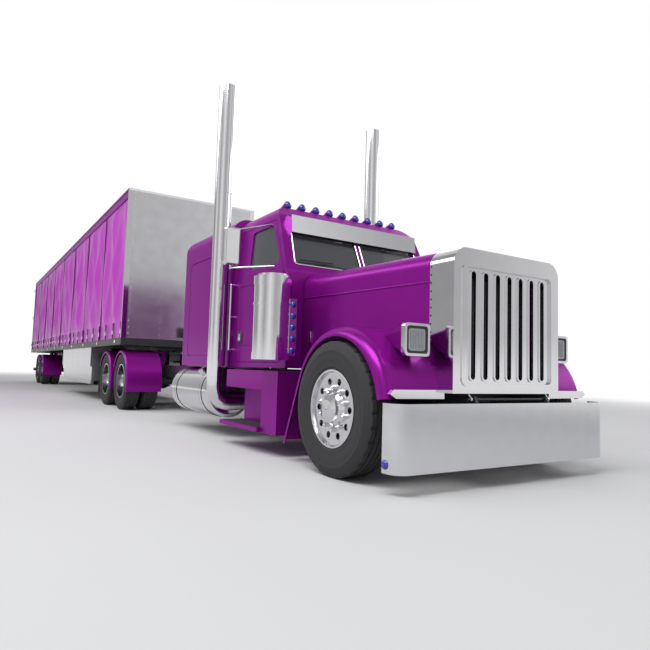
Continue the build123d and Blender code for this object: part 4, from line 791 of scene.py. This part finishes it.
# Rear doors: rubber seals and lock handles
SEAL_AHEAD, SEAL_RADIUS = 0.0335, 0.009
SEAL_INNER_Y, SEAL_OUTER_Y, SEAL_INSET = 0.03, 1.245, 0.03
LOCKS_Y, LOCK_LENGTH, LOCK_AHEAD = (0.16, 0.62), 0.26, 0.014
LOCK_Z, LOCK_END_Z = 1.72, 1.70
LOCK_RADIUS, LOCK_END_RADIUS = 0.011, 0.013
for side, sign in SIDES:
    body = f"{side}_rear_door"
    door_low, door_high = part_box(f"rear_door_{side}")
    seal_x = door_low[0] + SEAL_AHEAD
    inner_y, outer_y = sign * SEAL_INNER_Y, sign * SEAL_OUTER_Y
    low_z, high_z = door_low[2] + SEAL_INSET, door_high[2] - SEAL_INSET
    corners = [
        (seal_x, inner_y, low_z), (seal_x, outer_y, low_z),
        (seal_x, outer_y, high_z), (seal_x, inner_y, high_z),
    ]
    seal = Piece(f"rear_door_seal_{side}", rubber, body, "tyre")
    for a, b in zip(corners, corners[1:] + corners[:1]):
        seal.rod(a, b, SEAL_RADIUS, sides=8)
    seal.done()
    handles = Piece(f"rear_door_handles_{side}", chrome, body, "chrome")
    lock_x = door_low[0] + LOCK_AHEAD
    for y in LOCKS_Y:
        handle_end = (lock_x, sign * (y + LOCK_LENGTH), LOCK_END_Z)
        handles.rod((lock_x, sign * y, LOCK_Z), handle_end, LOCK_RADIUS)
        handles.dome(handle_end, LOCK_END_RADIUS)
    handles.done()

# Curtains: hung cloth in panels between straps, with slack folds
PANELS, STRAPS_PER_PANEL = 8, 3
STEPS_X, STEPS_Z = 512, 40
CURTAIN_INSET = 0.012
BELLY_DEPTH, FOLD_DEPTH, RIPPLE_DEPTH = 0.006, 0.042, 0.010
# Waves of the cloth: turns across a panel, turns up its height, and shift from one panel to the next
WIDE_WAVE, SMALL_WAVE = (1.9, 0.75, 0.37), (4.3, -1.1, 0.61)
# Powers for the sharpness of the crests and for the rise away from the bands and the edges
CREST_POWER, BAND_POWER, EDGE_POWER = 1.3, 0.5, 0.4
# Share of the height over which the lower straps hold the cloth flat
STRAPPED = 0.17
# Straps and buckles, from inside to outside and from foot to head
END_INSET = 0.03
STRAP_HALF, STRAP_INNER_Y, STRAP_OUTER_Y, STRAP_LOW, STRAP_HIGH = 0.022, 1.262, 1.2775, 1.30, 1.62
BUCKLE_HALF, BUCKLE_INNER_Y, BUCKLE_OUTER_Y, BUCKLE_LOW, BUCKLE_HIGH = 0.03, 1.268, 1.2835, 1.40, 1.48
BAND_HALF, BAND_INNER, BAND_OUTER, BAND_LOW = 0.028, 0.001, 0.010, 1.32
STRAP_BEVEL, BUCKLE_BEVEL = 0.001, 0.002
curtain_low, curtain_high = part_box("curtains")
curtain_length = curtain_high[0] - curtain_low[0]
curtain_height = curtain_high[2] - curtain_low[2]


def crease_wave(wave, inside, v, number):
    """A wave between -1 and 1 with sharp crests; its slant changes from panel to panel."""
    across, up, shift = wave
    slant = 1 if number % 2 else -1
    turns = across * inside + up * slant * v + shift * number
    return 1 - 2 * abs(math.sin(math.pi * turns)) ** CREST_POWER


def fold(u, v):
    """How far the cloth stands out at u along it and v up it, in metres."""
    number = int(u * PANELS)
    inside = u * PANELS - number
    held = math.sin(math.pi * inside) ** BAND_POWER if 0 < inside < 1 else 0
    belly = 0.5 + 0.5 * math.sin(math.pi * v)
    ends = min(1, (v / STRAPPED) ** 2) * math.sin(math.pi * v) ** EDGE_POWER if 0 < v < 1 else 0
    wide = FOLD_DEPTH * crease_wave(WIDE_WAVE, inside, v, number)
    small = RIPPLE_DEPTH * crease_wave(SMALL_WAVE, inside, v, number)
    return held * belly * BELLY_DEPTH + ends * held * (wide + small)


def curtain(side, sign, skin):
    """One curtain: a grid of points set out from its flat skin by the folds."""
    verts, faces = [], []
    for i in range(STEPS_X + 1):
        u = i / STEPS_X
        for j in range(STEPS_Z + 1):
            v = j / STEPS_Z
            verts.append((
                curtain_low[0] + u * curtain_length, skin + sign * fold(u, v),
                curtain_low[2] + v * curtain_height,
            ))
    row = STEPS_Z + 1
    for i in range(STEPS_X):
        for j in range(STEPS_Z):
            quad = (i * row + j, (i + 1) * row + j, (i + 1) * row + j + 1, i * row + j + 1)
            faces.append(quad if sign > 0 else quad[::-1])
    mesh = bpy.data.meshes.new(f"curtain_{side}")
    mesh.from_pydata(verts, [], faces)
    mesh.materials.append(cloth)
    mesh.shade_smooth()
    mesh.set_sharp_from_angle(angle=math.radians(CLOTH_SHARP_ANGLE))
    made = bpy.data.objects.new(f"curtain_{side}", mesh)
    bpy.context.collection.objects.link(made)
    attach(made, "trailer")
    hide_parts("curtains")


def strap_places(count):
    """Places along the curtain at equal steps, with the first and last set in from its ends."""
    for k in range(count + 1):
        x = curtain_low[0] + curtain_length * k / count
        yield min(max(x, curtain_low[0] + END_INSET), curtain_high[0] - END_INSET)


for side, sign in SIDES:
    skin = sign * (curtain_high[1] - CURTAIN_INSET)
    curtain(side, sign, skin)
    straps = Piece(f"curtain_straps_{side}", strap_cloth, "trailer", "curtain_cloth")
    buckles = Piece(f"curtain_buckles_{side}", chrome, "trailer", "chrome")
    for x in strap_places(STRAPS_PER_PANEL * PANELS):
        straps.box(
            (x - STRAP_HALF, sign * STRAP_INNER_Y, STRAP_LOW),
            (x + STRAP_HALF, sign * STRAP_OUTER_Y, STRAP_HIGH), STRAP_BEVEL,
        )
        buckles.box(
            (x - BUCKLE_HALF, sign * BUCKLE_INNER_Y, BUCKLE_LOW),
            (x + BUCKLE_HALF, sign * BUCKLE_OUTER_Y, BUCKLE_HIGH), BUCKLE_BEVEL,
        )
    for x in strap_places(PANELS):
        straps.box(
            (x - BAND_HALF, skin + sign * BAND_INNER, BAND_LOW),
            (x + BAND_HALF, skin + sign * BAND_OUTER, curtain_high[2]), STRAP_BEVEL,
        )
    straps.done(smooth=False)
    buckles.done()

# Stage: a pale floor that fades to white away from the lorry
STAGE_GREY = 0.58
FLOOR_REACH = 120
FADE_LENGTH, FADE_WIDTH = 22, 13
FADE_FROM, FADE_TO = 0.7, 1.6


def seen_rays(tree):
    """A socket that is 1 for rays by which the background is seen, straight or in metal and glass."""
    path = tree.nodes.new("ShaderNodeLightPath")
    total = path.outputs["Is Camera Ray"]
    for other in ("Is Glossy Ray", "Is Transmission Ray"):
        either = tree.nodes.new("ShaderNodeMath")
        either.operation = "MAXIMUM"
        tree.links.new(total, either.inputs[0])
        tree.links.new(path.outputs[other], either.inputs[1])
        total = either.outputs["Value"]
    return total


floor_mesh = bpy.data.meshes.new("floor")
floor_corners = [(-1, -1), (1, -1), (1, 1), (-1, 1)]
floor_mesh.from_pydata([(x * FLOOR_REACH, y * FLOOR_REACH, 0) for x, y in floor_corners], [], [(0, 1, 2, 3)])
floor = bpy.data.objects.new("floor", floor_mesh)
bpy.context.collection.objects.link(floor)
ground = material("floor", (STAGE_GREY,) * 3, roughness=0.9, mottle=(0.3, 0.01))
tree = ground.node_tree
place = tree.nodes.new("ShaderNodeTexCoord")
shrink = tree.nodes.new("ShaderNodeMapping")
shrink.inputs["Scale"].default_value = (1 / FADE_LENGTH, 1 / FADE_WIDTH, 0)
far = tree.nodes.new("ShaderNodeVectorMath")
far.operation = "LENGTH"
fade = tree.nodes.new("ShaderNodeMapRange")
fade.interpolation_type = "SMOOTHSTEP"
fade.inputs["From Min"].default_value = FADE_FROM
fade.inputs["From Max"].default_value = FADE_TO
glow = tree.nodes.new("ShaderNodeEmission")
glow.inputs["Color"].default_value = (1, 1, 1, 1)
blend = tree.nodes.new("ShaderNodeMixShader")
tree.links.new(place.outputs["Object"], shrink.inputs["Vector"])
tree.links.new(shrink.outputs["Vector"], far.inputs[0])
tree.links.new(far.outputs["Value"], fade.inputs["Value"])
shown = tree.nodes.new("ShaderNodeMath")
shown.operation = "MULTIPLY"
tree.links.new(fade.outputs["Result"], shown.inputs[0])
tree.links.new(seen_rays(tree), shown.inputs[1])
tree.links.new(shown.outputs["Value"], blend.inputs["Fac"])
tree.links.new(tree.nodes["Principled BSDF"].outputs["BSDF"], blend.inputs[1])
tree.links.new(glow.outputs["Emission"], blend.inputs[2])
tree.links.new(blend.outputs["Shader"], tree.nodes["Material Output"].inputs["Surface"])
floor_mesh.materials.append(ground)

# World: an even sky for light, and studio walls that are seen straight or in metal and glass
SKY_COLOR, SKY_STRENGTH = (0.94, 0.96, 1.0), 0.46
# White round the horizon and greyer overhead, as share of the way up and brightness
HEIGHT_STOPS = ((0.55, 1.0), (1.0, 0.35))
# White and grey walls round the object, as share of a turn and brightness
WALL_STOPS = (
    (0.025, 0.60), (0.06, 0.40), (0.14, 0.40), (0.20, 0.95), (0.29, 0.45), (0.38, 1.0), (0.47, 0.50),
    (0.54, 0.60), (0.575, 1.0), (0.62, 0.50), (0.67, 0.95), (0.73, 0.55), (0.79, 1.0),
)
# The walls fade to white down to the horizon, where they meet the floor
COVE_FROM, COVE_TO = -0.01, 0.07
world = bpy.data.worlds.new("studio")
bpy.context.scene.world = world
world.use_nodes = True
tree = world.node_tree
sky = tree.nodes["Background"]
sky.inputs["Color"].default_value = (*SKY_COLOR, 1)
sky.inputs["Strength"].default_value = SKY_STRENGTH
seen = tree.nodes.new("ShaderNodeBackground")
seen.inputs["Strength"].default_value = 1.0
place = tree.nodes.new("ShaderNodeTexCoord")
split = tree.nodes.new("ShaderNodeSeparateXYZ")
ramp = tree.nodes.new("ShaderNodeValToRGB")
for stop, (height, bright) in zip(ramp.color_ramp.elements, HEIGHT_STOPS):
    stop.position = height
    stop.color = (bright, bright, bright, 1)
tree.links.new(place.outputs["Generated"], split.inputs["Vector"])
tree.links.new(split.outputs["Z"], ramp.inputs["Fac"])
around = tree.nodes.new("ShaderNodeTexGradient")
around.gradient_type = "RADIAL"
bands = tree.nodes.new("ShaderNodeValToRGB")
for stop in bands.color_ramp.elements:
    stop.color = (1, 1, 1, 1)
for share, bright in WALL_STOPS:
    bands.color_ramp.elements.new(share).color = (bright, bright, bright, 1)
walls = tree.nodes.new("ShaderNodeMix")
walls.data_type = "RGBA"
walls.blend_type = "MULTIPLY"
cove = tree.nodes.new("ShaderNodeMapRange")
cove.interpolation_type = "SMOOTHSTEP"
cove.inputs["From Min"].default_value = COVE_FROM
cove.inputs["From Max"].default_value = COVE_TO
tree.links.new(split.outputs["Z"], cove.inputs["Value"])
tree.links.new(cove.outputs["Result"], walls.inputs["Factor"])
tree.links.new(place.outputs["Generated"], around.inputs["Vector"])
tree.links.new(around.outputs["Fac"], bands.inputs["Fac"])
tree.links.new(ramp.outputs["Color"], walls.inputs[MIX_FIRST])
tree.links.new(bands.outputs["Color"], walls.inputs[MIX_SECOND])
tree.links.new(walls.outputs[MIX_RESULT], seen.inputs["Color"])
choose = tree.nodes.new("ShaderNodeMixShader")
tree.links.new(seen_rays(tree), choose.inputs["Fac"])
tree.links.new(sky.outputs["Background"], choose.inputs[1])
tree.links.new(seen.outputs["Background"], choose.inputs[2])
tree.links.new(choose.outputs["Shader"], tree.nodes["World Output"].inputs["Surface"])

# Lamps: name, place and aim as steps from the nose on the ground, size in metres and power in watts
LAMPS = (
    ("key", (1, -6, 11), (-4, 0, 1.5), (9, 6), 1150),
    ("side", (-12, -11, 11), (-14, 0, 2), (18, 5), 950),
    ("far_side", (-12, 12, 10), (-14, 0, 2), (18, 5), 620),
    ("front", (3, 14, 7), (-1, 0, 1.2), (8, 5), 230),
    ("back", (-32, 6, 7), (-24, 0, 2), (6, 5), 350),
)


def area_lamp(name, at, aim, size, power):
    """A soft rectangular lamp that looks at a point."""
    lamp = bpy.data.lights.new(name, "AREA")
    lamp.shape = "RECTANGLE"
    lamp.size, lamp.size_y = size
    lamp.energy = power
    made = bpy.data.objects.new(name, lamp)
    bpy.context.collection.objects.link(made)
    made.location = at
    made.rotation_euler = (aim - at).to_track_quat("-Z", "Y").to_euler()


nose_x = cad_box[1][0]
nose = Vector((nose_x, 0, 0))
for name, at, aim, size, power in LAMPS:
    area_lamp(name, nose + Vector(at), nose + Vector(aim), size, power)

# Camera fitted to the picture: metres from the bumper's front face, degrees, and focal length in pixels
CAMERA_AHEAD, CAMERA_Y, CAMERA_Z = 2.984, -3.676, 0.850
CAMERA_TURN, CAMERA_RISE, CAMERA_ROLL = -32.27, 4.45, 1.70
FOCAL_PIXELS, PICTURE_PIXELS = 569.7, 650
SENSOR_WIDTH = 36
FARTHEST = 500
camera_data = bpy.data.cameras.new("camera")
camera = bpy.data.objects.new("camera", camera_data)
bpy.context.collection.objects.link(camera)
camera_data.sensor_width = SENSOR_WIDTH
camera_data.lens = SENSOR_WIDTH * FOCAL_PIXELS / PICTURE_PIXELS
camera_data.clip_end = FARTHEST
turn, rise, roll = (math.radians(a) for a in (CAMERA_TURN, CAMERA_RISE, CAMERA_ROLL))
forward = Vector((-math.cos(rise) * math.cos(turn), -math.cos(rise) * math.sin(turn), math.sin(rise)))
right = forward.cross(Vector((0, 0, 1))).normalized()
up = right.cross(forward)
right_rolled = math.cos(roll) * right + math.sin(roll) * up
up_rolled = -math.sin(roll) * right + math.cos(roll) * up
pose = Matrix((right_rolled, up_rolled, -forward)).transposed().to_4x4()
pose.translation = (nose_x + CAMERA_AHEAD, CAMERA_Y, CAMERA_Z)
camera.matrix_world = pose
bpy.context.scene.camera = camera
bpy.context.scene.view_settings.view_transform = "Standard"
